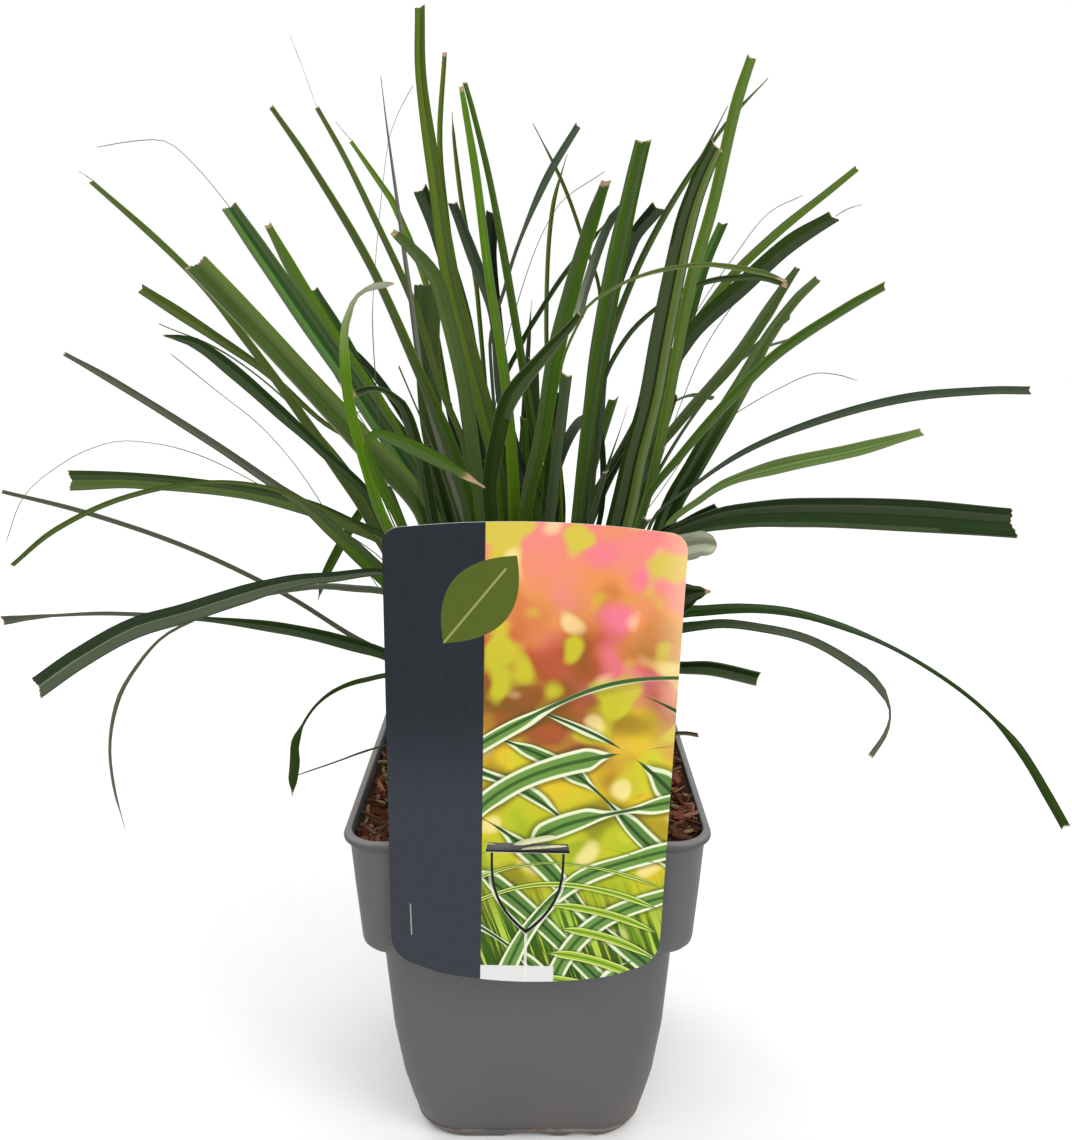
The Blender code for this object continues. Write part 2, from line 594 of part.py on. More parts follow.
def seen_at(place):
    """Where the front view shows a place, and how many picture points a metre has there."""
    back = place.y - EYE.y
    low = EYE.z - place.z
    away = back * math.cos(LOOK_DOWN) + low * math.sin(LOOK_DOWN)
    down = low * math.cos(LOOK_DOWN) - back * math.sin(LOOK_DOWN)
    scale = VIEW_SCALE / away
    return VIEW_MIDDLE[0] + scale * (place.x - EYE.x), VIEW_MIDDLE[1] + scale * down, scale


def place_seen(x, y, depth):
    """The place at a given depth that the front view shows at a picture point."""
    right = (x - VIEW_MIDDLE[0]) / VIEW_SCALE
    down = (y - VIEW_MIDDLE[1]) / VIEW_SCALE
    away = (depth - EYE.y) / (math.cos(LOOK_DOWN) - down * math.sin(LOOK_DOWN))
    height = EYE.z - away * (down * math.cos(LOOK_DOWN) + math.sin(LOOK_DOWN))
    return Vector((EYE.x + away * right, depth, height))


class Leaf:
    """A leaf's own facts: its places and widths, its end, its roll, and where it is seen."""

    def __init__(self, places, widths, end, roll, spots=()):
        self.places = places
        self.widths = widths
        self.end = end
        self.roll = roll
        self.spots = spots
        self.line = places

    def slope(self):
        """How far the tip leans out for its height over the soil."""
        tip = self.places[-1]
        return math.hypot(tip.x, tip.y) / max(tip.z - SOIL_TOP, 1 * MM)

    def heading(self):
        return Vector((self.places[-1].x, self.places[-1].y, 0)).normalized()


def path_marks(points):
    """How far along its path each point lies."""
    marks = [0.0]
    for a, b in zip(points, points[1:]):
        marks.append(marks[-1] + math.dist(a, b))
    return marks


def even_steps(marks, count):
    """For even steps along a path: the stretch each one falls in and how far into it."""
    steps = []
    for step in range(count + 1):
        mark = marks[-1] * step / count
        i = max(k for k in range(len(marks) - 1) if marks[k] <= mark + 1e-9)
        steps.append((i, min((mark - marks[i]) / (marks[i + 1] - marks[i]), 1.0)))
    return steps


def even_widths(points, widths, count):
    """Widths at even steps along a path, from those at its given places."""
    spread = []
    for i, t in even_steps(path_marks(points), count):
        spread.append(widths[i] + (widths[i + 1] - widths[i]) * (3 * t ** 2 - 2 * t ** 3))
    return spread


def smooth_line(points, count):
    """Points evenly along a smooth curve through the given places."""
    marks = path_marks(points)
    slopes = []
    for i in range(len(points)):
        low = max(i - 1, 0)
        high = min(i + 1, len(points) - 1)
        slopes.append((points[high] - points[low]) / (marks[high] - marks[low]))
    if len(points) > 2:
        first = (points[1] - points[0]) / (marks[1] - marks[0])
        slopes[0] = (first * 2 - slopes[1]).normalized()
    line = []
    for i, t in even_steps(marks, count):
        span = marks[i + 1] - marks[i]
        a = points[i] * (2 * t ** 3 - 3 * t ** 2 + 1) + slopes[i] * span * (t ** 3 - 2 * t ** 2 + t)
        b = points[i + 1] * (3 * t ** 2 - 2 * t ** 3) + slopes[i + 1] * span * (t ** 3 - t ** 2)
        line.append(a + b)
    return line


def width_share(share, end):
    """How wide a leaf is along its length, as a share of its full width."""
    root = 0.42 + 0.58 * min(share / 0.35, 1.0) ** 0.8
    if end == FINE:
        return root * max(1 - max(share - 0.35, 0) / 0.65, 0.0) ** 0.75
    return root * (1 - 0.12 * max(share - 0.6, 0) / 0.4)


def leaf_frames(leaf):
    """At each place of a leaf's line: the directions ahead, sideways and up from its face.

    Near its root a leaf lies round its sheath. Further out the shown leaves turn their face
    to the front, and the others keep theirs up.
    """
    count = len(leaf.line) - 1
    frames = []
    for i in range(count + 1):
        share = i / count
        ahead = (leaf.line[min(i + 1, count)] - leaf.line[max(i - 1, 0)]).normalized()
        side = ahead.cross(Vector((0, 0, 1))).normalized()
        if leaf.spots:
            facing = ahead.cross(Vector((0, 1, 0))).normalized()
            if facing.dot(side) < 0:
                facing = -facing
            side = side.lerp(facing, min(share / FACING_SHARE, 1.0)).normalized()
        side.rotate(Matrix.Rotation(leaf.roll * share, 3, ahead))
        if frames and side.dot(frames[-1][1]) < 0:
            side = -side
        frames.append((ahead, side, side.cross(ahead).normalized()))
    up = frames[round(count * 0.6)][2]
    if (0.5 * up.z - up.y if leaf.spots else up.z) < 0:
        frames = [(ahead, -side, -up) for ahead, side, up in frames]
    return frames


def blade_mesh(leaf, thickness):
    """A folded strap: a grid laid along the leaf's line, creased at its keel, made solid."""
    widest = max(leaf.widths)
    narrow = widest < NARROW * MM
    broad = widest >= BROAD * MM and leaf.spots
    across = 1 if narrow else (4 if broad else 2)
    along = len(leaf.line) - 1
    frames = leaf_frames(leaf)
    bm = bmesh.new()
    bmesh.ops.create_grid(bm, x_segments=along, y_segments=across, size=1)
    for vert in bm.verts:
        index = round((vert.co.x + 1) / 2 * along)
        share = index / along
        ahead, side, up = frames[index]
        edge = abs(vert.co.y)
        half = max(leaf.widths[index] / 2, LEAST_HALF_WIDTH)
        fold = 0 if narrow else math.radians(50 - 24 * min(share / 0.3, 1.0))
        fold *= min(half / FULL_FOLD_HALF, 1.0)
        crease = min(edge, 0.85 - 0.5 * edge) if broad else edge
        notch = TIP_NOTCH * half * (1 - edge) if index == along and leaf.end == CUT else 0
        place = leaf.line[index] + side * (vert.co.y * half * math.cos(fold))
        vert.co = place + up * (crease * math.sin(fold) * half) - ahead * notch
    bmesh.ops.triangulate(bm, faces=bm.faces[:], quad_method="FIXED")
    bmesh.ops.solidify(bm, geom=bm.faces[:], thickness=thickness)
    bmesh.ops.recalc_face_normals(bm, faces=bm.faces[:])
    return bm


def nearest_shoot(shoots, leaf, load):
    """The shoot a leaf grows from: by direction, by how upright it is, and by room left."""
    ring = "inner" if leaf.slope() < UPRIGHT_SLOPE else "outer"
    heading = leaf.heading()
    direction = math.atan2(heading.y, heading.x)
    best = None
    for index, (kind, angle, place) in enumerate(shoots):
        if kind != ring:
            continue
        away = abs((direction - angle + math.pi) % (2 * math.pi) - math.pi)
        away += CROWDING * load[index] ** 2
        if best is None or away < best[0]:
            best = (away, index)
    load[best[1]] += 1
    return best[1]


def root_place(shoot, leaf, rank):
    """Where a leaf starts in its sheath: the more it leans, the lower and further out."""
    place = shoot[2] + leaf.heading() * ROOT_SPREAD * (2 * rank - 1)
    place.z = SOIL_TOP + ROOT_HEIGHT + ROOT_RISE * (1 - rank)
    return place


def segments(line):
    """How many straight pieces a leaf needs: more where it bends more."""
    turning = sum((b - a).angle(c - b) for a, b, c in zip(line, line[1:], line[2:]))
    return min(LEAST_SEGMENTS + round(turning / math.radians(BEND_PER_SEGMENT)), MOST_SEGMENTS)


def shown_leaf(row, rng):
    """A leaf of the front view, with the places it passes and its tip's depth."""
    depth, end, spots = row[0] * MM, row[1], row[2:]
    tip = place_seen(*spots[-1][:2], depth)
    return Leaf([tip], [], end, math.radians(rng.uniform(*SHOWN_ROLL)), spots)


def arched_leaf(direction, length, lean, rng):
    """A leaf that leaves the crown steeply and leans further over towards its tip."""
    start = math.radians(rng.uniform(*FILL_START_LEAN))
    steps = LEAST_SEGMENTS + round((lean - start) / math.radians(1.3 * BEND_PER_SEGMENT))
    heading = Vector((math.cos(direction), math.sin(direction), 0))
    places = [Vector((0, 0, SOIL_TOP))]
    for i in range(steps):
        angle = start + (lean - start) * ((i + 0.5) / steps) ** 1.3
        step = heading * math.sin(angle) + Vector((0, 0, math.cos(angle)))
        places.append(places[-1] + step * length / steps)
    end = CUT if rng.random() < FILL_CUT_SHARE else FINE
    roll = math.radians(rng.uniform(*FILL_ROLL))
    width = rng.uniform(*FILL_WIDTHS) * MM
    widths = [width * width_share(i / steps, end) for i in range(steps + 1)]
    return Leaf(places, widths, end, roll)


def lay_line(leaf, root):
    """Draw a leaf's line from its root, with the depth growing steadily to the tip's."""
    if not leaf.spots:
        start = leaf.places[0]
        leaf.line = [root + (place - start) for place in leaf.places]
        return
    marks = path_marks([seen_at(root)[:2]] + [spot[:2] for spot in leaf.spots])
    reach = leaf.places[-1].y - root.y
    drawn = [root]
    widths = []
    for (x, y, width), mark in zip(leaf.spots, marks[1:]):
        drawn.append(place_seen(x, y, root.y + reach * (mark / marks[-1]) ** DEPTH_POWER))
        widths.append(width / seen_at(drawn[-1])[2] / SEEN_SHARE)
    widths.insert(0, widths[0] * ROOT_SHARE)
    count = segments(smooth_line(drawn, 24))
    leaf.line = smooth_line(drawn, count)
    leaf.widths = even_widths(drawn, widths, count)


def bend(leaf, turn, lean):
    """A copy of a leaf, turned about its root and leaned further out or in towards its tip."""
    root = leaf.line[0]
    outward = leaf.line[-1] - root
    tilt_axis = Vector((-outward.y, outward.x, 0)).normalized()
    count = len(leaf.line) - 1
    bent = copy.copy(leaf)
    bent.line = []
    for i, point in enumerate(leaf.line):
        share = min(2 * i / count, 1)
        around = Matrix.Rotation(turn * share, 3, "Z")
        over = Matrix.Rotation(lean * share, 3, tilt_axis)
        bent.line.append(root + around @ over @ (point - root))
    return bent


def bend_clear(leaf, index, kept, fixed):
    """The least bent copy of a leaf that clears the other shoots and the fixed pieces."""
    tries = [(0.0, 0.0)]
    for size in (1.5, 3, 5, 7, 10, 14):
        for turn, lean in ((1, 0), (-1, 0), (0, 1), (0, -1), (1, 1), (-1, -1), (1, -1), (-1, 1)):
            tries.append((math.radians(size * turn), math.radians(size * lean)))
    for turn, lean in tries:
        candidate = bend(leaf, turn, lean)
        bm = blade_mesh(candidate, BLADE_THICKNESS + 2 * BLADE_CLEARANCE)
        tree = BVHTree.FromBMesh(bm)
        bm.free()
        others = [other for shoot, other in kept if shoot != index]
        if all(not tree.overlap(other) for other in others + fixed):
            return candidate, tree
    return None, None


def sheath_mesh(place, extra=0.0):
    """The short folded sheath that a shoot's leaves grow out of, standing in its hole."""
    height = SHEATH_DEPTH + SHEATH_HEIGHT
    bm = bmesh.new()
    middle = place + Vector((0, 0, SOIL_TOP - SHEATH_DEPTH + height / 2))
    bmesh.ops.create_cone(
        bm, cap_ends=True, segments=SHEATH_SIDES, radius1=SHEATH_RADIUS + extra,
        radius2=SHEATH_TIP_RADIUS + extra, depth=height, matrix=Matrix.Translation(middle),
    )
    return bm


def evaluated_tree(item):
    bpy.context.view_layer.update()
    graph = bpy.context.evaluated_depsgraph_get()
    bm = bmesh.new()
    bm.from_object(item, graph)
    bm.transform(item.matrix_world)
    tree = BVHTree.FromBMesh(bm)
    bm.free()
    return tree


def grow_leaves(shoots, fixed):
    """Every leaf of the tuft, sorted by its shoot, with none crossing another shoot's."""
    rng = random.Random(FILL_SEED)
    wanted = [shown_leaf(row, rng) for row in SHOWN_LEAVES]
    for first, last, number, lengths, leans in FILL_BANDS:
        for i in range(number):
            direction = math.radians(first + (last - first) * (i + rng.uniform(0.2, 0.8)) / number)
            length = rng.uniform(*lengths) * MM
            wanted.append(arched_leaf(direction, length, math.radians(rng.uniform(*leans)), rng))
    load = [0] * len(shoots)
    homes = [nearest_shoot(shoots, leaf, load) for leaf in wanted]
    for index, shoot in enumerate(shoots):
        mates = [leaf for leaf, home in zip(wanted, homes) if home == index]
        mates.sort(key=Leaf.slope)
        for rank, leaf in enumerate(mates):
            lay_line(leaf, root_place(shoot, leaf, rank / max(len(mates) - 1, 1)))
    kept = []
    for index, (kind, angle, place) in enumerate(shoots):
        bm = sheath_mesh(place, BLADE_CLEARANCE)
        kept.append((index, BVHTree.FromBMesh(bm)))
        bm.free()
    leaves = [[] for shoot in shoots]
    for index, leaf in zip(homes, wanted):
        clear, tree = bend_clear(leaf, index, kept, fixed)
        if clear:
            leaves[index].append(clear)
            kept.append((index, tree))
    print("leaves", sum(len(group) for group in leaves), "of", len(wanted))
    return leaves


def make_shoots(collection, fixed):
    """One object for each shoot: its sheath and its leaves, joined as one body."""
    shoots = shoot_places()
    leaves = grow_leaves(shoots, fixed)
    working = new_collection("loose_leaves")
    made = []
    for index, (kind, angle, place) in enumerate(shoots):
        green = (0.05 + 0.008 * (index % 4), 0.13 + 0.015 * (index % 3), 0.03)
        finish = material("leaf_green_%02d" % (index + 1), green, 0.5)
        shoot = object_from(sheath_mesh(place), "shoot_%02d" % (index + 1), collection, finish)
        for leaf in leaves[index]:
            object_from(blade_mesh(leaf, BLADE_THICKNESS), "leaf", working, finish)
        if leaves[index]:
            boolean(shoot, "UNION", "MANIFOLD", operands=working)
            scraps = drop_scraps(shoot)
            print(shoot.name, "leaves", len(leaves[index]), "scraps dropped", scraps)
        discard(working.objects)
        made.append(shoot)
    return made


def main():
    clear_scene()
    plant = new_collection("carex_sedge")
    pot = make_pot(plant, material("grey_plastic", (0.15, 0.145, 0.148), 0.45))
    mix = make_mix(plant, material("bark_mix", (0.09, 0.045, 0.028), 0.95))
    label = make_label(plant, material("label_sheet", (0.32, 0.38, 0.16), 0.35))
    make_shoots(plant, [evaluated_tree(item) for item in (pot, mix, label)])


main()
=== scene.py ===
# %% [markdown]
# # A carex sedge in its square pot
# The plant is a low tuft of stiff grass-like leaves, most of them trimmed square. It stands in
# bark mix in a grey moulded pot, with a plastic picture label pushed over the front of the rim.
# The solid model of the same plant is loaded first. Its shoots, mix, label and pot are then
# replaced, one by one, by finer pieces in the same places.

# %% Load the frame
import copy
import math
import random

import bmesh
import bpy
from mathutils import Euler, Matrix, Vector, noise
from mathutils.bvhtree import BVHTree


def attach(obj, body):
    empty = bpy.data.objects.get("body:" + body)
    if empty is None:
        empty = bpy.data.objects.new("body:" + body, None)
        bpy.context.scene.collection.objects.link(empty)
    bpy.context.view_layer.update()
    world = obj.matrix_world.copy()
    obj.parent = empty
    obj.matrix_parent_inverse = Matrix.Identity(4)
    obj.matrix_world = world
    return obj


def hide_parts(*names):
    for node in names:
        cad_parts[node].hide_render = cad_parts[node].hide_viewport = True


MM = 0.001
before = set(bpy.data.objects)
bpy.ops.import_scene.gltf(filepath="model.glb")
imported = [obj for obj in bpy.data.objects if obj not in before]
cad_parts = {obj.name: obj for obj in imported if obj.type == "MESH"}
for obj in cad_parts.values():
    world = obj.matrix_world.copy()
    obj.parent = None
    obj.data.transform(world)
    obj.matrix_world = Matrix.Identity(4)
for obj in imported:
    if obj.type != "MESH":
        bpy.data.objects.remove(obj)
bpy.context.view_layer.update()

# %% [markdown]
# ## Camera
# The picture was taken close to the plant and a little above the rim, so the camera looks down
# by about 15 degrees and the pot narrows strongly towards its foot. A plain camera with a
# slightly wide lens gives the same lines with no shift.

# %% Camera
CAMERA_PLACE = (0.0035, -0.449, 0.374)
CAMERA_DOWN = math.radians(14.88)
camera = bpy.data.objects.new("photo_camera", bpy.data.cameras.new("photo_camera"))
camera.data.sensor_fit = "VERTICAL"
camera.data.sensor_height = 36
camera.data.lens = 33.16
camera.data.clip_start = 0.01
camera.location = CAMERA_PLACE
camera.rotation_euler = (math.pi / 2 - CAMERA_DOWN, 0, 0)
bpy.context.scene.collection.objects.link(camera)
bpy.context.scene.camera = camera
bpy.context.scene.view_settings.view_transform = "Standard"
print("camera looks down", round(math.degrees(CAMERA_DOWN), 2), "degrees")

# %% [markdown]
# ## Helpers for materials
# A finish is a small network of nodes. Colours are easier to choose as they look on a screen,
# so one helper turns such a colour into the light values that a shader takes. The other helper
# keeps a material's network together, with a short call for each kind of node.


# %% Helpers for materials
def screen(red, green, blue):
    """A colour as it looks on a screen, 0 to 255, in the values that a shader takes."""
    values = []
    for part in (red, green, blue):
        share = part / 255
        values.append(share / 12.92 if share < 0.04 else ((share + 0.055) / 1.055) ** 2.4)
    return (*values, 1.0)


class Finish:
    """A material in the making: its nodes, with a short call for each kind."""

    def __init__(self, name):
        self.material = bpy.data.materials.new(name)
        self.material.use_nodes = True
        self.tree = self.material.node_tree
        self.shader = self.tree.nodes["Principled BSDF"]

    def add(self, kind, inputs=None, **settings):
        made = self.tree.nodes.new("ShaderNode" + kind)
        for name, value in settings.items():
            setattr(made, name, value)
        for name, value in (inputs or {}).items():
            self.feed(made.inputs[name], value)
        return made

    def feed(self, socket, value):
        if isinstance(value, bpy.types.NodeSocket):
            self.tree.links.new(value, socket)
        else:
            socket.default_value = value

    def finish(self, **inputs):
        for name, value in inputs.items():
            self.feed(self.shader.inputs[name.replace("_", " ")], value)
        return self.material

    def math(self, operation, first, second=0.0, third=0.0, clamp=False):
        made = self.add("Math", operation=operation, use_clamp=clamp)
        for socket, value in zip(made.inputs, (first, second, third)):
            self.feed(socket, value)
        return made.outputs[0]

    def times(self, first, second):
        return self.math("MULTIPLY", first, second)

    def plus(self, first, second):
        return self.math("ADD", first, second)

    def mix(self, share, first, second, blend="MIX"):
        made = self.add("Mix", data_type="RGBA", blend_type=blend)
        for socket, value in ((0, share), (6, first), (7, second)):
            self.feed(made.inputs[socket], value)
        return made.outputs[2]

    def ramp(self, value, stops):
        made = self.add("ValToRGB", {"Fac": value})
        while len(made.color_ramp.elements) < len(stops):
            made.color_ramp.elements.new(0.5)
        for element, (place, colour) in zip(made.color_ramp.elements, stops):
            element.position = place
            element.color = colour
        return made.outputs["Color"]

    def step(self, value, start, end, low=0.0, high=1.0):
        """A soft step: low where the value is under start, high where it is past end."""
        inputs = {"Value": value, "From Min": start, "From Max": end, "To Min": low, "To Max": high}
        return self.add("MapRange", inputs, interpolation_type="SMOOTHSTEP").outputs[0]

    def band(self, value, start, full, still, end):
        """A soft band: high from full to still, and low under start and past end."""
        return self.times(self.step(value, start, full), self.step(value, end, still))

    def layer(self, under, over, *shares):
        """One colour laid over another, as far as all the shares together let it."""
        share = shares[0]
        for more in shares[1:]:
            share = self.times(share, more)
        return self.mix(share, under, over)

    def noise(self, place, scale, detail=2.0, roughness=0.5):
        inputs = {"Vector": place, "Scale": scale, "Detail": detail, "Roughness": roughness}
        return self.add("TexNoise", inputs).outputs[0]

    def cells(self, place, scale, output="Distance"):
        return self.add("TexVoronoi", {"Vector": place, "Scale": scale}).outputs[output]

    def own(self, name):
        """The three values of an attribute that the mesh carries."""
        made = self.add("Attribute", attribute_name=name)
        return self.add("SeparateXYZ", {"Vector": made.outputs["Vector"]}).outputs

    def colour_of(self, name):
        return self.add("Attribute", attribute_name=name).outputs["Color"]

    def place(self):
        return self.add("TexCoord").outputs["Object"]

    def split(self, vector):
        return self.add("SeparateXYZ", {"Vector": vector}).outputs

    def join(self, x, y, z=0.0):
        return self.add("CombineXYZ", {"X": x, "Y": y, "Z": z}).outputs[0]

    def bump(self, height, distance, strength=1.0, under=None):
        inputs = {"Height": height, "Distance": distance, "Strength": strength}
        if under:
            inputs["Normal"] = under
        return self.add("Bump", inputs).outputs[0]


print("a middle grey of 128 gives a shader", round(screen(128, 128, 128)[0], 3))

# %% [markdown]
# ## Light and floor
# The plant was lit softly from all round, with a little more light from above and from the
# right, and it stands on plain white. A white sky that is brighter overhead gives most of the
# light. Two large, weak lamps add the soft gloss on the leaves. The floor is a wide pale disc.


# %% Light and floor
def make_sky():
    world = bpy.data.worlds.new("white_sky")
    world.use_nodes = True
    tree = world.node_tree
    where = tree.nodes.new("ShaderNodeTexCoord").outputs["Generated"]
    parts = tree.nodes.new("ShaderNodeSeparateXYZ")
    tree.links.new(where, parts.inputs[0])
    rise = tree.nodes.new("ShaderNodeMapRange")
    rise.inputs["From Min"].default_value = 0.1
    rise.inputs["To Min"].default_value = SKY_LOW
    rise.inputs["To Max"].default_value = SKY_HIGH
    tree.links.new(parts.outputs["Z"], rise.inputs["Value"])
    tree.links.new(rise.outputs[0], tree.nodes["Background"].inputs["Strength"])
    tree.nodes["Background"].inputs["Color"].default_value = (1, 1, 1, 1)
    bpy.context.scene.world = world


def add_lamp(name, place, power):
    lamp = bpy.data.objects.new(name, bpy.data.lights.new(name, "AREA"))
    lamp.data.energy = power
    lamp.data.size = LAMP_SIZE
    lamp.location = place
    aim = LAMP_AIM - lamp.location
    lamp.rotation_euler = aim.to_track_quat("-Z", "Y").to_euler()
    bpy.context.scene.collection.objects.link(lamp)


SKY_LOW = 1.0
SKY_HIGH = 1.12
LAMP_SIZE = 0.9
LAMP_AIM = Vector((0, 0, 0.22))
FLOOR_RADIUS = 4
make_sky()
add_lamp("key_lamp", (1.3, -1.1, 1.6), 12)
add_lamp("rim_lamp", (-1.2, 0.9, 1.5), 4)

paper = Finish("floor_paper")
speckle = paper.noise(paper.place(), 40, 3)
paper_colour = paper.mix(speckle, screen(246, 246, 245), screen(252, 252, 252))
paper.finish(Base_Color=paper_colour, Roughness=0.9, Normal=paper.bump(speckle, 0.0002, 0.3))
bm = bmesh.new()
bmesh.ops.create_circle(bm, cap_ends=True, segments=96, radius=FLOOR_RADIUS)
floor_mesh = bpy.data.meshes.new("floor")
bm.to_mesh(floor_mesh)
bm.free()
floor_mesh.materials.append(paper.material)
floor = bpy.data.objects.new("floor", floor_mesh)
bpy.context.scene.collection.objects.link(floor)
print("sky", SKY_LOW, "to", SKY_HIGH, "and a floor", 2 * FLOOR_RADIUS, "m across")

# %% [markdown]
# ## Setting a piece in place
# Every piece is a mesh in the frame's own place, so its object stays at the origin. It rides on
# the one body of the plant, names the finish it takes, and stands for the plain solid it
# replaces.

# %% Setting a piece in place
SHARP_ANGLE = math.radians(40)


def place_piece(bm, name, finishes, replaced=()):
    mesh = bpy.data.meshes.new(name)
    bm.to_mesh(mesh)
    bm.free()
    for finish in finishes:
        mesh.materials.append(finish)
    mesh.shade_smooth()
    mesh.set_sharp_from_angle(angle=SHARP_ANGLE)
    piece = bpy.data.objects.new(name, mesh)
    bpy.context.scene.collection.objects.link(piece)
    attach(piece, "root")
    if replaced:
        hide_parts(*replaced)
    faces = sum(len(polygon.vertices) - 2 for polygon in mesh.polygons)
    print(name, "triangles", faces)
    return piece


# %% [markdown]
# ## Grey plastic
# The pot is injection moulded in a matte mid grey. Close to, the skin is slightly uneven, with
# fine grain, some dust specks, and a brownish tint of soil low down near the foot. Shade is
# painted darker under the lip and down its front, and a highlight, with a little wear, is
# painted paler along the lip's top. A thin band on the ledge above the foot is paler. All of it
# comes from noise at different scales and from the height over the ground.

# %% Grey plastic
LIP_TOP = 162 * MM
plastic = Finish("grey_plastic_skin")
where = plastic.place()
height = plastic.split(where)[2]
cloud = plastic.noise(where, 26, 3)
grain = plastic.noise(where, 1500, 2)
grey = plastic.mix(cloud, screen(87, 86, 88), screen(96, 95, 96))
soiled = plastic.times(plastic.step(height, 0.034, 0.0), plastic.step(cloud, 0.35, 0.7))
grey = plastic.layer(grey, screen(112, 92, 76), soiled, 0.3)
specks = plastic.step(plastic.cells(where, 330), 0.11, 0.05)
rare = plastic.step(plastic.noise(where, 120, 1), 0.6, 0.68)
grey = plastic.layer(grey, screen(74, 66, 60), specks, rare)
# Painted shade: a darker band under the lip and down its rounded front.
lip_shade = plastic.band(height, 0.1566, 0.1575, 0.1604, 0.1612)
grey = plastic.layer(grey, screen(66, 66, 63), lip_shade, 0.5)
# Painted highlight, with a little wear: the lip's top is paler.
lip_highlight_and_wear = plastic.step(height, LIP_TOP - 0.9 * MM, LIP_TOP)
grey = plastic.layer(grey, screen(138, 136, 134), lip_highlight_and_wear, 0.7)
# A thin paler band on the ledge above the foot, broken up by noise.
seam = plastic.band(height, 0.0038, 0.0042, 0.005, 0.0054)
grey = plastic.layer(grey, screen(132, 128, 122), seam, plastic.step(cloud, 0.3, 0.6))
lumps = plastic.step(plastic.noise(where, 260, 2), 0.54, 0.6)
grey = plastic.layer(grey, screen(104, 74, 58), plastic.step(height, 0.009, 0.003), lumps, 0.6)
plastic.finish(
    Base_Color=grey,
    Roughness=plastic.step(cloud, 0.2, 0.8, 0.44, 0.58), Specular_IOR_Level=0.15,
    Normal=plastic.bump(grain, 0.00006, 0.5, plastic.bump(cloud, 0.0004, 0.25)),
)
print("finish", plastic.material.name)

# %% [markdown]
# ## Pot
# The real pot is one thin shell: a foot ring with a small ledge over it, a tapering body, a
# step out to a deep collar, and a rolled lip. It is grown from one round-cornered square by
# extruding it again and again and fitting each new ring to its height and width, first up the
# outside, then over the lip and down the inside. Drain holes and the arches between the feet
# are cut last.

# %% Pot
LIP_HALF = 75 * MM
COLLAR_TOP_HALF = 73 * MM
COLLAR_LOW_HALF = 70 * MM
COLLAR_LOW = 114 * MM
STEP_HEIGHT = 107 * MM
BODY_TOP_HALF = 62 * MM
FOOT_HEIGHT = 5 * MM
FOOT_HALF = 51.5 * MM
WALL = 1.3 * MM
CORNER = 14 * MM
CORNER_EASE = 0.3
FOOT_ROUNDING = 1.5
BODY_TAPER = ((105.5, 62), (90, 61.2), (60, 59.6), (32, 56.8), (14, 54), (6, 52.6))


def corner_radius(half):
    """Corner radius for a half width: tighter down the collar, rounder at the foot."""
    below_step = max(BODY_TOP_HALF - half, 0)
    return CORNER - (LIP_HALF - half) * CORNER_EASE + below_step * FOOT_ROUNDING


print("corner radius", [round(corner_radius(half) / MM, 1) for half in (LIP_HALF, FOOT_HALF)], "mm")

# %% [markdown]
# ## Rings
# A loft between drawn outlines is quick to make, but its points can slip round the corners.
# Here every ring has the same count of points and each is laid by its own direction, so the
# walls stay clean from foot to lip.

# %% Rings
CORNER_STEPS = 10


def fit_ring(verts, half, height, radius):
    """Lay a ring of vertices on a square with round corners, each by its own direction."""
    ordered = sorted(verts, key=lambda vert: math.atan2(vert.co.y, vert.co.x) % (2 * math.pi))
    for index, vert in enumerate(ordered):
        quarter, step = divmod(index, CORNER_STEPS + 1)
        turn = Matrix.Rotation(quarter * math.pi / 2, 3, "Z")
        angle = (quarter + step / CORNER_STEPS) * math.pi / 2
        middle = turn @ Vector((half - radius, half - radius, 0))
        vert.co = middle + radius * Vector((math.cos(angle), math.sin(angle), 0))
        vert.co.z = height


def extrude_on(bm, face, keep=False):
    """Extrude one face and return the new one. The first call keeps the face as the bottom."""
    made = bmesh.ops.extrude_face_region(bm, geom=[face])["geom"]
    if not keep:
        bmesh.ops.delete(bm, geom=[face], context="FACES_ONLY")
    return next(item for item in made if isinstance(item, bmesh.types.BMFace))


def grow_rings(bm, stations):
    """Extrude one face along a list of (half width, height), and close both ends."""
    count = 4 * (CORNER_STEPS + 1)
    turn = Matrix.Rotation(0.01, 4, "Z")
    bmesh.ops.create_circle(bm, cap_ends=True, segments=count, radius=1, matrix=turn)
    face = bm.faces[:][0]
    fit_ring(face.verts, *stations[0], corner_radius(stations[0][0]))
    for index, (half, height) in enumerate(stations[1:]):
        face = extrude_on(bm, face, keep=index == 0)
        fit_ring(face.verts, half, height, corner_radius(half))
    bmesh.ops.recalc_face_normals(bm, faces=bm.faces[:])
    return face


print("points in a ring", 4 * (CORNER_STEPS + 1))

# %% [markdown]
# ## Outline of the pot
# The outline is a list of stations, each a half width and a height. Most are small steps from
# a driving size, so a changed size takes its rounded edges along.

# %% Outline of the pot
LIP_BEAD = 1.7 * MM
LIP_STEPS = 8


def offsets(half, height, rows):
    """Stations that are given in millimetres from one half width and one height."""
    return [(half + out * MM, height + up * MM) for out, up in rows]


def lip_stations():
    """The rolled lip: out under it, round its edge, and over its top to the inside."""
    stations = offsets(COLLAR_TOP_HALF, LIP_TOP, ((-0.2, -4.4), (0.3, -3.5)))
    for step in range(LIP_STEPS + 1):
        angle = math.radians(-80 + 160 * step / LIP_STEPS)
        half = LIP_HALF - LIP_BEAD + LIP_BEAD * math.cos(angle)
        stations.append((half, LIP_TOP - LIP_BEAD + LIP_BEAD * math.sin(angle)))
    return stations + offsets(COLLAR_TOP_HALF - WALL, LIP_TOP, ((0.5, -0.1), (0, -0.9)))


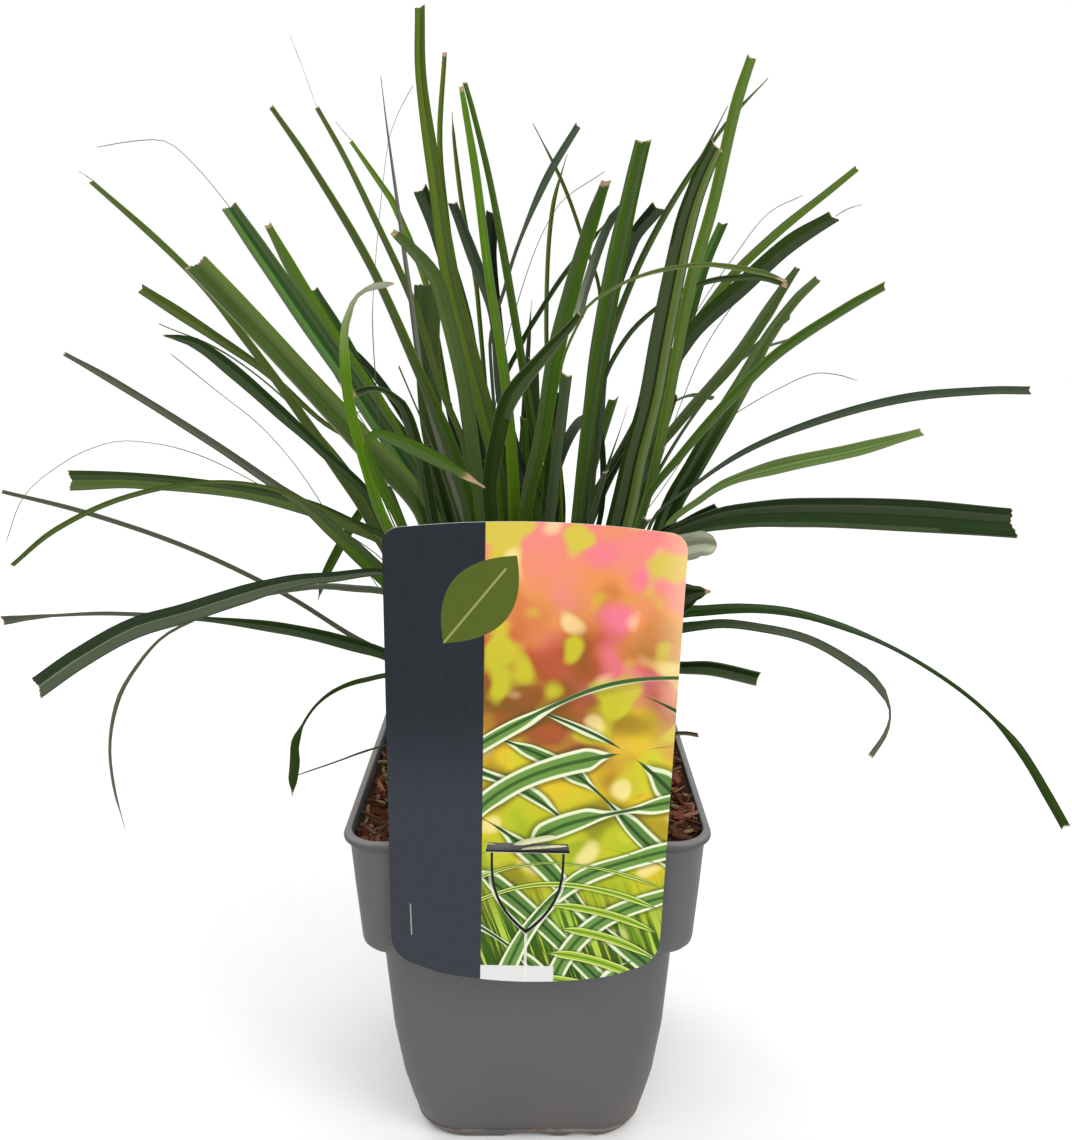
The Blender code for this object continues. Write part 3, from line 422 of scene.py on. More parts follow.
outside = offsets(FOOT_HALF, 0, (
    (-4, 5), (-4.5, 0.4), (-4.2, 0), (-1.6, 0), (-0.6, 0.3), (-0.1, 1.2),
    (0.9, 4.2), (0.85, 4.6), (0.35, 4.9), (0.5, 5.2),
))
outside += [(half * MM, height * MM) for height, half in reversed(BODY_TAPER)]
outside += offsets(BODY_TOP_HALF, STEP_HEIGHT, ((0.5, -0.5), (1.5, 0)))
outside += offsets(COLLAR_LOW_HALF, STEP_HEIGHT, ((-3.5, 0.6), (-1.6, 1.4), (-0.5, 3), (-0.1, 5)))
outside += offsets(COLLAR_LOW_HALF, COLLAR_LOW, ((0, 0), (1.5, 22)))
inside = [(COLLAR_LOW_HALF - WALL, COLLAR_LOW)]
inside += offsets(COLLAR_LOW_HALF - WALL, STEP_HEIGHT + WALL, ((-2, 1),))
inside += offsets(BODY_TOP_HALF - WALL, STEP_HEIGHT + WALL, ((1, 0),))
inside += [(half * MM - WALL, height * MM) for height, half in BODY_TAPER[:-1]]
inside += [(FOOT_HALF - WALL, FOOT_HEIGHT + WALL)]


print("stations outside", len(outside), "and inside", len(inside))

# %% [markdown]
# ## Cuts in the pot
# The drain holes are plain cylinders. Each notch in the foot is the shallow top of a large
# cylinder that lies on its side, two kinds to a side. One exact Boolean takes them all away,
# and the round foot under the floor's middle is added afterwards.

# %% Cuts in the pot
NOTCH_DEPTH = 3.3 * MM
NOTCHES = ((0, 13 * MM), (24 * MM, 7.5 * MM))
HOLE_RING = 36 * MM
HOLE_RADIUS = 4.5 * MM
MIDDLE_FOOT = 12 * MM


def cut_with(bm, cutter):
    """Take one closed mesh away from another with an applied Boolean."""
    pair = []
    for name, source in (("cut_target", bm), ("cutter", cutter)):
        mesh = bpy.data.meshes.new(name)
        source.to_mesh(mesh)
        source.free()
        pair.append(bpy.data.objects.new(name, mesh))
        bpy.context.scene.collection.objects.link(pair[-1])
    cut = pair[0].modifiers.new("cut", "BOOLEAN")
    cut.operation = "DIFFERENCE"
    cut.solver = "EXACT"
    cut.object = pair[1]
    bpy.context.view_layer.update()
    graph = bpy.context.evaluated_depsgraph_get()
    result = bmesh.new()
    result.from_mesh(pair[0].evaluated_get(graph).to_mesh())
    for item in pair:
        bpy.data.objects.remove(item, do_unlink=True)
    return result


def add_cylinder(bm, place, radius, depth, turn=Matrix.Identity(4), sides=32, top=None):
    """A cylinder about its middle, or a cone's stump where its top has its own radius."""
    bmesh.ops.create_cone(
        bm, cap_ends=True, segments=sides, radius1=radius, radius2=top or radius, depth=depth,
        matrix=Matrix.Translation(place) @ turn,
    )


pot = bmesh.new()
grow_rings(pot, outside + lip_stations() + inside)
cutters = bmesh.new()
for corner in range(4):
    angle = (corner + 0.5) * math.pi / 2
    hole = (HOLE_RING * math.cos(angle), HOLE_RING * math.sin(angle), FOOT_HEIGHT)
    add_cylinder(cutters, hole, HOLE_RADIUS, 12 * MM)
for side in range(4):
    face = Matrix.Rotation(side * math.pi / 2, 4, "Z")
    turn = face @ Matrix.Rotation(math.pi / 2, 4, "X")
    for offset, half_width in NOTCHES:
        radius = (half_width ** 2 + NOTCH_DEPTH ** 2) / (2 * NOTCH_DEPTH)
        place = face @ Vector((offset, 2 * MM - FOOT_HALF, NOTCH_DEPTH - radius))
        add_cylinder(cutters, place, radius, 14 * MM, turn, sides=96)
pot = cut_with(pot, cutters)
add_cylinder(pot, (0, 0, FOOT_HEIGHT / 2 + 0.2 * MM), MIDDLE_FOOT, FOOT_HEIGHT + 0.4 * MM)
place_piece(pot, "moulded_pot", [plastic.material], ["pot"])

# %% [markdown]
# ## Bark mix
# The plant grows in composted bark and coir: a dark body, with reddish-brown shreds lying on
# it in every direction, and a few pale fibres. The shreds are what is seen between the label
# and the rim, so each is a real sliver with its own brown. The body below only has to fill the
# pot. Its top rises in a low bank along the walls, where the mix was pushed up by the crown.

# %% Bark finish
bark = Finish("bark_shreds")
streak = bark.own("sliver_place")
along = bark.join(bark.times(streak[0], 2.2), bark.times(streak[1], 22), streak[2])
fibre = bark.noise(along, 3.2, 4, 0.65)
crumb = bark.noise(bark.place(), 900, 3)
brown = bark.mix(fibre, screen(56, 33, 23), bark.colour_of("bark_tint"))
brown = bark.mix(bark.step(crumb, 0.62, 0.72), brown, screen(120, 96, 84), "MULTIPLY")
bark.finish(
    Base_Color=brown, Roughness=bark.step(crumb, 0.3, 0.7, 0.75, 0.95), Specular_IOR_Level=0.04,
    Normal=bark.bump(fibre, 0.0004, 0.8, bark.bump(crumb, 0.0003, 0.6)),
)
print("finish", bark.material.name)

# %% [markdown]
# ## Body of the mix
# The body follows the inside of the pot with a small gap. Its top is grown inwards ring by
# ring, and every ring is lifted to a height that noise and the wall's nearness give.

# %% Body of the mix
SOIL_TOP = 153.5 * MM
SOIL_TILT = 0.03
SOIL_RELIEF = 1.6 * MM
GAP = 0.3 * MM
MIX_SHOULDER = SOIL_TOP - 5 * MM
BANK_WIDTH = 13 * MM
BANK_RISE = 6.6 * MM
MIX_RINGS = 14
COLLAR_RISE = 44.6 * MM
COLLAR_SPREAD = (COLLAR_TOP_HALF - COLLAR_LOW_HALF) * (MIX_SHOULDER - COLLAR_LOW) / COLLAR_RISE
MIX_HALF = COLLAR_LOW_HALF + COLLAR_SPREAD - WALL - 2 * GAP


def soil_height(x, y):
    """Top of the mix: nearly flush with the lip on the right, and banked up along the walls."""
    bumps = noise.noise(Vector((x, y, 0)) * 90) + 0.6 * noise.noise(Vector((x, y, 3)) * 210)
    near_wall = max(max(abs(x), abs(y)) - MIX_HALF + BANK_WIDTH, 0) / BANK_WIDTH
    return SOIL_TOP + SOIL_TILT * x + SOIL_RELIEF * bumps + BANK_RISE * near_wall


def mix_body():
    slack = WALL + GAP
    stations = [(FOOT_HALF - slack - 0.6 * MM, FOOT_HEIGHT + WALL + GAP)]
    stations += [(half * MM - slack, height * MM) for height, half in reversed(BODY_TAPER[:-1])]
    stations += [(BODY_TOP_HALF - slack, STEP_HEIGHT + slack)]
    stations += offsets(COLLAR_LOW_HALF - slack, STEP_HEIGHT + slack, ((-2.6, 1.4),))
    stations += [(COLLAR_LOW_HALF - slack, COLLAR_LOW + GAP), (MIX_HALF, MIX_SHOULDER)]
    body = bmesh.new()
    face = grow_rings(body, stations)
    for step in range(MIX_RINGS):
        face = extrude_on(body, face)
        left = 1 - step / MIX_RINGS
        fit_ring(face.verts, MIX_HALF * left, 0, CORNER * left)
        for vert in face.verts:
            vert.co.z = soil_height(vert.co.x, vert.co.y) + 0.5 * MM * noise.noise(vert.co * 700)
    bmesh.ops.recalc_face_normals(body, faces=body.faces[:])
    return body


def dress(bm, tint, place=(0.5, 0.5, 0.5)):
    """Give every vertex of a small mesh its bark colour, and its place along the sliver."""
    colours = bm.verts.layers.float_color.new("bark_tint")
    places = bm.verts.layers.float_vector.new("sliver_place")
    for vert in bm.verts:
        vert[colours] = tint
        vert[places] = place


def append(bm, part):
    """Add a small mesh to a bigger one, with its attributes."""
    carrier = bpy.data.meshes.new("carrier")
    part.to_mesh(carrier)
    part.free()
    bm.from_mesh(carrier)
    bpy.data.meshes.remove(carrier)


mix = bmesh.new()
body = mix_body()
dress(body, screen(78, 46, 32))
append(mix, body)
print("top of the mix", round(SOIL_TOP / MM, 1), "mm up, half width", round(MIX_HALF / MM, 1))

# %% [markdown]
# ## Bark slivers
# A sliver is a box cut into four along its length, then bent and narrowed towards its ends.
# They are strewn over the mix on a seeded draw, with none inside the crown. Nearly a third of
# them are thin pale fibres.

# %% Bark slivers
SLIVERS = 2900
SLIVER_TINTS = (
    (98, 56, 38), (132, 82, 58), (150, 96, 70), (170, 116, 86),
    (186, 136, 102), (112, 70, 52), (196, 162, 126),
)
CROWN_CLEAR = 33 * MM
FIBRE_SHARE = 0.3
BATCH = 100
TRIES = 20


def sliver(rng):
    """One shred of bark or fibre, somewhere on the mix."""
    thin = rng.random() < FIBRE_SHARE
    length = rng.uniform(5, 13) * MM if thin else rng.uniform(3.5, 12) * MM
    width = rng.uniform(0.35, 0.7) * MM if thin else rng.uniform(1.0, 3.2) * MM
    thick = rng.uniform(0.3, 0.5) * MM if thin else rng.uniform(0.5, 1.3) * MM
    part = bmesh.new()
    bmesh.ops.create_cube(part, size=1)
    long_edges = [edge for edge in part.edges if abs(edge.verts[0].co.x - edge.verts[1].co.x) > 0.5]
    bmesh.ops.subdivide_edges(part, edges=long_edges, cuts=3)
    tint = rng.choice(SLIVER_TINTS[3:] if thin else SLIVER_TINTS)
    dress(part, screen(*(value * rng.uniform(0.85, 1.12) for value in tint)))
    places = part.verts.layers.float_vector["sliver_place"]
    bow, side, seed = rng.uniform(-0.16, 0.16), rng.uniform(-0.2, 0.2), rng.uniform(0, 50)
    for vert in part.verts:
        x, y, z = vert.co
        vert[places] = (x * length * 200, y, seed)
        narrow = 1 - 1.5 * abs(x) ** 2 * rng.uniform(0.6, 1)
        vert.co = (
            x * length,
            y * narrow * width + side * length * (x * x - 0.1),
            z * narrow * thick + bow * length * (0.25 - x * x),
        )
    reach = MIX_HALF - 1.5 * MM
    for attempt in range(TRIES):
        x, y = rng.uniform(-reach, reach), rng.uniform(-reach, reach)
        in_corner = abs(x) + abs(y) < 2 * reach - 8 * MM
        if math.hypot(x, y) > CROWN_CLEAR and in_corner:
            break
    turn = Euler((rng.uniform(-0.6, 0.6), rng.uniform(-0.38, 0.38), rng.uniform(0, math.pi)))
    height = soil_height(x, y) + rng.uniform(0.2, 2.4) * MM
    part.transform(Matrix.Translation((x, y, height)) @ turn.to_matrix().to_4x4())
    limit = LIP_HALF - WALL - 2.6 * MM
    for vert in part.verts:
        vert.co.x = max(-limit, min(limit, vert.co.x))
        vert.co.y = max(-limit, min(limit, vert.co.y))
    return part


rng = random.Random(11)
for batch in range(SLIVERS // BATCH):
    heap = bmesh.new()
    for i in range(BATCH):
        append(heap, sliver(rng))
    append(mix, heap)
place_piece(mix, "bark_mix", [bark.material], ["potting_mix"])

# %% [markdown]
# ## Label sheet
# The label is one flat sheet of printed plastic with an arched top. A slit and a shield-shaped
# cut let it be pushed over the rim, so that the lip shows through the slit. Its sizes here are
# in millimetres on the flat sheet, with the lip's height as the middle.

# %% Label shape
LABEL_HALF = 54.5
LABEL_TOP = 131
LABEL_BOTTOM = -62
LABEL_FLARE = 0.03
LABEL_SHEET = 0.5 * MM
LABEL_TILT = math.radians(1.35)
LABEL_SHIFT = 0.3 * MM
TOP_CORNER = 7
TOP_RISE = 3
LOW_CORNER = 14
LOW_DROP = 6.5
BORDER = 0.55
TONGUE_HALF = 13.7
TONGUE_TOP = -3.2
TONGUE_LENGTH = 33
SHOULDER = 1.6
TAPER_POWER = 2.8
SLIT_HALF = 16.8
SLIT_HEIGHT = 4.4


def arc(middle_x, middle_y, radius, start, end, steps=12):
    points = []
    for i in range(steps + 1):
        angle = math.radians(start + (end - start) * i / steps)
        points.append((middle_x + radius * math.cos(angle), middle_y + radius * math.sin(angle)))
    return points


def label_outline():
    """Edge of the label in millimetres: arched top, a little flared, and a rounder foot."""
    upper, lower = LABEL_HALF - TOP_CORNER, LABEL_HALF - LOW_CORNER
    high, low = LABEL_TOP - TOP_RISE - TOP_CORNER, LABEL_BOTTOM + LOW_DROP + LOW_CORNER
    points = arc(upper, high, TOP_CORNER, 0, 82)
    for i in range(1, 16):
        x = upper * (1 - i / 8)
        points.append((x, LABEL_TOP - TOP_RISE * (x / upper) ** 2))
    points += arc(-upper, high, TOP_CORNER, 98, 180)
    points += arc(-lower, low, LOW_CORNER, 180, 258)
    for i in range(1, 16):
        x = -lower * (1 - i / 8)
        points.append((x, LABEL_BOTTOM + 1.3 * LOW_DROP * (x / LABEL_HALF) ** 2))
    points += arc(lower, low, LOW_CORNER, 282, 360)
    return [(x * (1 + LABEL_FLARE * max(y, 0) / LABEL_TOP), y) for x, y in points]


def tongue_side(offset):
    """One side of the shield-shaped tongue, from its shoulder down to its tip."""
    points = []
    for i in range(19):
        share = i / 18
        x = (TONGUE_HALF + offset) * (1 - share ** TAPER_POWER)
        points.append((x, TONGUE_TOP - SHOULDER - (TONGUE_LENGTH + 2 * offset) * share))
    return points


def label_holes():
    """The slit over the lip, and the narrow cut that frees the tongue and widens to its tip."""
    slit = [(-SLIT_HALF, TONGUE_TOP), (SLIT_HALF, TONGUE_TOP)]
    slit += [(SLIT_HALF - 1, TONGUE_TOP + SLIT_HEIGHT), (1 - SLIT_HALF, TONGUE_TOP + SLIT_HEIGHT)]
    outer, inner = tongue_side(1), tongue_side(0)
    cut = outer + [(-x, y) for x, y in reversed(outer[:-1])]
    cut += [(-x, y) for x, y in inner[:-1]] + list(reversed(inner))
    return slit, cut


def add_loop(bm, points):
    verts = [bm.verts.new((x * MM, y * MM, 0)) for x, y in points]
    return [bm.edges.new((verts[i - 1], verts[i])) for i in range(len(verts))]


print("points in the label's edge", len(label_outline()))

# %% [markdown]
# ## Label sheet with its cuts
# The outline is filled and inset for its border, and the inner field is filled again with the
# cuts as holes. Each vertex keeps its place on the flat sheet for the print before the sheet
# is stood up and hung on the lip.

# %% Label sheet with its cuts
label = bmesh.new()
rim = add_loop(label, label_outline())
bmesh.ops.contextual_create(label, geom=rim)
inner_face = label.faces[:][0]
bmesh.ops.inset_region(label, faces=[inner_face], thickness=BORDER * MM, use_even_offset=True)
field = list(inner_face.edges)
border_faces = set(label.faces) - {inner_face}
bmesh.ops.delete(label, geom=[inner_face], context="FACES_ONLY")
for hole in label_holes():
    field += add_loop(label, hole)
bmesh.ops.triangle_fill(label, edges=field, use_beauty=True)
for face in label.faces:
    face.material_index = 1 if face in border_faces else 0
    if face.normal.z < 0:
        face.normal_flip()
places = label.verts.layers.float_vector.new("label_place")
for vert in label.verts:
    vert[places] = vert.co / MM
bmesh.ops.solidify(label, geom=label.faces[:], thickness=LABEL_SHEET)
bmesh.ops.recalc_face_normals(label, faces=label.faces[:])
for face in label.faces:
    if face.normal.z < 0.5:
        face.material_index = 1
heights = [vert.co.z for vert in label.verts]
LABEL_FRONT = max(heights)
middle = (LABEL_FRONT + min(heights)) / 2
across = LABEL_SHIFT - LIP_TOP * math.tan(LABEL_TILT)
before_lip = Matrix.Translation((across, -(LIP_HALF + GAP + LABEL_SHEET / 2), 0))
label_turn = Euler((math.pi / 2, LABEL_TILT, 0)).to_matrix().to_4x4()
label_matrix = before_lip @ label_turn @ Matrix.Translation((0, LIP_TOP, -middle))
label.transform(label_matrix)
print("label faces", len(label.faces), "sheet", round((max(heights) - min(heights)) / MM, 2), "mm")

# %% [markdown]
# ## Label print
# A label of this kind is printed in full colour. This one carries a plain design of its own:
# soft blurred garden tints, from warm at the top to green at the foot, crossed by sweeping pale
# arcs, with a dark slate panel and one olive leaf shape. It is drawn from formulas on the
# sheet's own millimetres, so nothing on it is a picture.


# %% Label print
def garden_tints(ink, u, v, flat):
    """Blurred warm and green tints, as flowers far out of focus."""
    drift = ink.noise(flat, 0.028, 2)
    second = ink.noise(ink.join(ink.plus(u, 300), v), 0.04, 1)
    third = ink.noise(ink.join(u, ink.plus(v, 500)), 0.05, 1)
    rise = ink.math("MULTIPLY_ADD", v, 1 / (LABEL_TOP - LABEL_BOTTOM), 0.32)
    rise = ink.plus(rise, ink.math("MULTIPLY_ADD", drift, 0.7, -0.35))
    tints = ink.ramp(rise, [
        (0.0, screen(42, 74, 16)), (0.16, screen(84, 124, 28)), (0.32, screen(176, 184, 38)),
        (0.46, screen(214, 184, 44)), (0.58, screen(150, 84, 40)), (0.7, screen(176, 82, 46)),
        (0.84, screen(222, 142, 80)), (1.0, screen(232, 130, 130)),
    ])
    corner = ink.times(ink.step(v, 30, 100), ink.step(u, -6, 40))
    tints = ink.layer(tints, screen(232, 116, 140), ink.step(second, 0.46, 0.62), corner)
    shady = ink.times(ink.step(second, 0.52, 0.36), ink.step(v, 110, 70))
    tints = ink.layer(tints, screen(104, 84, 26), shady, 0.6)
    lime = ink.times(ink.step(third, 0.52, 0.62), ink.step(v, -60, 20))
    tints = ink.layer(tints, screen(198, 196, 48), lime, 0.8)
    glow = ink.step(ink.noise(flat, 0.06, 0, 0.4), 0.64, 0.75)
    tints = ink.layer(tints, screen(246, 226, 160), glow, 0.6)
    return ink.layer(tints, screen(240, 206, 150), ink.step(u, 44, 58), ink.step(v, 30, 70, 0, 0.55))


print("the tints run over", LABEL_TOP - LABEL_BOTTOM, "mm")

# %% [markdown]
# ## Sweeping arcs
# The arcs are rings about points far below the sheet. The distance to such a point, cut into
# equal bands, gives each arc its pale edge, its green and its dark line, and noise makes them
# sway and run out.

# %% Sweeping arcs
SWEEPS = (
    ((-66, -128), 19, 0.46, 90, (70, 30), ((214, 224, 186), (86, 124, 58), (44, 72, 34))),
    ((88, -104), 24, 0.4, 400, (84, 40), ((224, 230, 196), (104, 142, 66), (58, 92, 40))),
    ((20, -170), 11, 0.34, 700, (6, -30), ((206, 216, 120), (150, 180, 52), (92, 132, 34))),
)


def pale_arcs(ink, u, v, tints):
    """Sweeping pale-edged arcs about points under the sheet, each thinning out at its ends."""
    fine = ink.join(ink.math("MULTIPLY_ADD", v, 0.35, u), ink.times(v, 0.03))
    strands = ink.noise(fine, 0.5, 2, 0.6)
    foot = ink.step(v, -6, -44)
    tints = ink.layer(tints, screen(52, 88, 20), ink.step(strands, 0.48, 0.4), foot)
    tints = ink.layer(tints, screen(172, 196, 70), ink.step(strands, 0.54, 0.6), foot)
    for (right, low), pitch, width, seed, (top, full), (pale, green, line) in SWEEPS:
        across = ink.math("SUBTRACT", u, right)
        up = ink.math("SUBTRACT", v, low)
        square = ink.plus(ink.times(across, across), ink.times(up, up))
        sway = ink.noise(ink.join(ink.plus(u, seed), v), 0.011, 0)
        distance = ink.plus(ink.math("SQRT", square), ink.math("MULTIPLY_ADD", sway, 34, -17))
        turn = ink.math("FRACT", ink.math("DIVIDE", distance, pitch))
        side = ink.math("ABSOLUTE", ink.math("SUBTRACT", turn, 0.5))
        patch = ink.step(ink.noise(ink.join(u, ink.plus(v, seed)), 0.022, 0), 0.36, 0.56)
        patch = ink.times(patch, ink.step(v, top, full))
        room = ink.math("SUBTRACT", ink.times(patch, width / 2), side)
        shadow = ink.times(ink.step(room, -0.1, 0), ink.step(patch, 0.1, 0.5))
        tints = ink.layer(tints, screen(44, 62, 18), shadow, 0.55)
        inner = ink.math("SUBTRACT", room, width * 0.17)
        ribbon = ink.mix(ink.step(inner, -0.015, 0.01), screen(*pale), screen(*green))
        ribbon = ink.mix(ink.step(side, 0.045, 0.02), ribbon, screen(*line))
        tints = ink.mix(ink.step(room, 0.0, 0.02), tints, ribbon)
    return tints


print("sets of arcs", len(SWEEPS))

# %% [markdown]
# ## Leaf shape and plain boxes
# Two curves that meet in points make a leaf. Both it and the plain boxes are masks that a
# colour is laid through, so their edges stay sharp at any size.

# %% Leaf shape and plain boxes
SIGN_TILT = math.radians(52)
SIGN_PLACE = (-20, 101)
SIGN_LENGTH = 22
SIGN_WIDTH = 12.5


def leaf_sign(ink, u, v, colours):
    """One olive leaf shape with a pale rib, laid across the edge of the panel."""
    right = ink.math("SUBTRACT", u, SIGN_PLACE[0])
    up = ink.math("SUBTRACT", v, SIGN_PLACE[1])
    cosine, sine = math.cos(SIGN_TILT), math.sin(SIGN_TILT)
    along = ink.plus(ink.times(right, cosine), ink.times(up, sine))
    off = ink.math("ABSOLUTE", ink.math("SUBTRACT", ink.times(up, cosine), ink.times(right, sine)))
    square = ink.times(along, along)
    room = ink.math("MULTIPLY_ADD", square, -SIGN_WIDTH / SIGN_LENGTH ** 2, SIGN_WIDTH)
    shape = ink.step(ink.math("SUBTRACT", room, off), 0, 0.35)
    rib = ink.times(ink.step(off, 0.55, 0.3), ink.step(along, 16, 15))
    return ink.mix(shape, colours, ink.mix(rib, screen(80, 92, 30), screen(140, 150, 86)))


def box_mask(ink, u, v, left, right, bottom, top, soft=0.25):
    across = ink.band(u, left - soft, left, right, right + soft)
    return ink.times(across, ink.band(v, bottom - soft, bottom, top, top + soft))


print("leaf shape", 2 * SIGN_LENGTH, "by", 2 * SIGN_WIDTH, "mm")

# %% [markdown]
# ## The printed sheet
# The layers are laid in the order they would be printed: picture, slate panel, leaf shape and
# plain block. Last come the pale line along the cut, partly the burr of white plastic and partly
# a painted highlight on its edge, two dark lines of painted shade in the creases where the tongue
# folds, and one scratch of wear.

# %% The printed sheet
PANEL_EDGE = -18
CUT_LINE_SPREAD = 1.2
CUT_LINE_REACH = 2.6
FOLD_SHADE_PLACE = 14.2
FOLD_SHADE_HALF = 0.45
BLOCK_BOX = (-18.1, 11.5, -70, -54.6)
SCRATCH_BOX = (-47.6, -47.3, -41, -27)

ink = Finish("label_print")
u, v = ink.own("label_place")[:2]
flat = ink.join(u, v)
picture = pale_arcs(ink, u, v, garden_tints(ink, u, v, flat))
slate = ink.mix(ink.step(v, 12, 62), screen(50, 53, 60), screen(30, 33, 40))
slate = ink.layer(slate, screen(84, 88, 96), ink.noise(flat, 0.3, 4), 0.12)
colours = ink.mix(ink.step(u, PANEL_EDGE, PANEL_EDGE - 0.3), picture, slate)
colours = leaf_sign(ink, u, v, colours)
colours = ink.mix(box_mask(ink, u, v, *BLOCK_BOX), colours, screen(214, 214, 213))
# A pale line just outside the tongue's cut: partly the burr of white plastic, partly a painted highlight on
# the cut edge.
shoulder = TONGUE_TOP - SHOULDER
tip_reach = ink.step(v, shoulder, shoulder - TONGUE_LENGTH - CUT_LINE_REACH)
tip_reach = ink.math("POWER", tip_reach, TAPER_POWER)
off_cut = ink.math("DIVIDE", ink.math("ABSOLUTE", u), TONGUE_HALF + CUT_LINE_SPREAD)
burr_and_highlight = ink.band(ink.plus(off_cut, tip_reach), 0.97, 0.99, 1.03, 1.05)
colours = ink.layer(colours, screen(222, 222, 208), burr_and_highlight, ink.step(v, -8, -22), 0.8)
# Painted shade: two dark lines in the creases where the tongue folds.
for side in (-FOLD_SHADE_PLACE, FOLD_SHADE_PLACE):
    fold_shade = box_mask(ink, u, v, side - FOLD_SHADE_HALF, side + FOLD_SHADE_HALF, -5.2, TONGUE_TOP, 0.1)
    colours = ink.mix(fold_shade, colours, screen(34, 34, 36))
scratch = box_mask(ink, ink.math("MULTIPLY_ADD", v, 0.03, u), v, *SCRATCH_BOX, 0.2)
colours = ink.layer(colours, screen(170, 172, 176), scratch, 0.7)
handling = ink.noise(flat, 0.09, 4, 0.6)
ink.finish(
    Base_Color=colours, Roughness=ink.step(handling, 0.3, 0.7, 0.3, 0.42), Specular_IOR_Level=0.1,
    Normal=ink.bump(handling, 0.0006, 0.2),
)


def bare_plastic(name, darker, paler, specular, scale):
    """The finish of unprinted plastic: two like tints and a little grain."""
    bare = Finish(name)
    fibre = bare.noise(bare.place(), scale, 3)
    bare.finish(
        Base_Color=bare.mix(fibre, screen(*darker), screen(*paler)), Roughness=0.5,
        Specular_IOR_Level=specular, Normal=bare.bump(fibre, 0.00005, 0.4),
    )
    return bare.material


cut_white = bare_plastic("label_cut_white", (226, 226, 222), (240, 240, 237), 0.3, 700)
place_piece(label, "picture_label", [ink.material, cut_white], ["label"])

# %% [markdown]
# ## Curled edges of the slit
# Where the label was forced over the lip, the slit's upper edge has split into cream curls
# that stand off the sheet. Each is a short strip, rolled across its width and narrowed to
# nothing at both ends.

# %% Slit curls
CURLS = (
    ((-5.8, 0.6), (11, 4.6), 6.2, 2.6),
    ((-2.8, -1.6), (15.6, 0.2), 4.2, 2.2),
    ((-18, 0.9), (-13, 0.3), 0.9, 1.8),
)
CURL_SHEET = 0.22 * MM
CURL_LIFT = 0.15


def curl(start, end, width, roll):
    """A rolled strip between two points of the label, in its own millimetres."""
    strip = bmesh.new()
    bmesh.ops.create_grid(strip, x_segments=26, y_segments=8, size=0.5)
    for vert in strip.verts:
        share = vert.co.x + 0.5
        waist = max(math.sin(math.pi * share), 0.0) ** 0.6 * (1 + 0.12 * math.sin(9 * share))
        radius = width / roll * waist
        angle = roll * (vert.co.y + 0.5)
        x = start[0] + (end[0] - start[0]) * share
        y = start[1] + (end[1] - start[1]) * share + radius * math.sin(angle)
        vert.co = (x * MM, y * MM, LABEL_FRONT + (CURL_LIFT + radius * (1 - math.cos(angle))) * MM)
    bmesh.ops.solidify(strip, geom=strip.faces[:], thickness=CURL_SHEET)
    bmesh.ops.recalc_face_normals(strip, faces=strip.faces[:])
    return strip


curls = bmesh.new()
for row in CURLS:
    append(curls, curl(*row))
curls.transform(label_matrix)
cream = bare_plastic("curl_cream", (196, 200, 148), (232, 230, 204), 0.1, 600)
place_piece(curls, "slit_curls", [cream])

# %% [markdown]
# ## Where the leaves run
# Each leaf is told by the picture points it passes in the front view, from the crown to its
# tip, with its width at each. The row also says how far back its tip stands in millimetres,
# and whether it was trimmed or keeps its fine point. These are the same rows, and below them
# the same rule and the same seeded draws, as the plain solids follow, so that every fine leaf
# lies on its solid one.

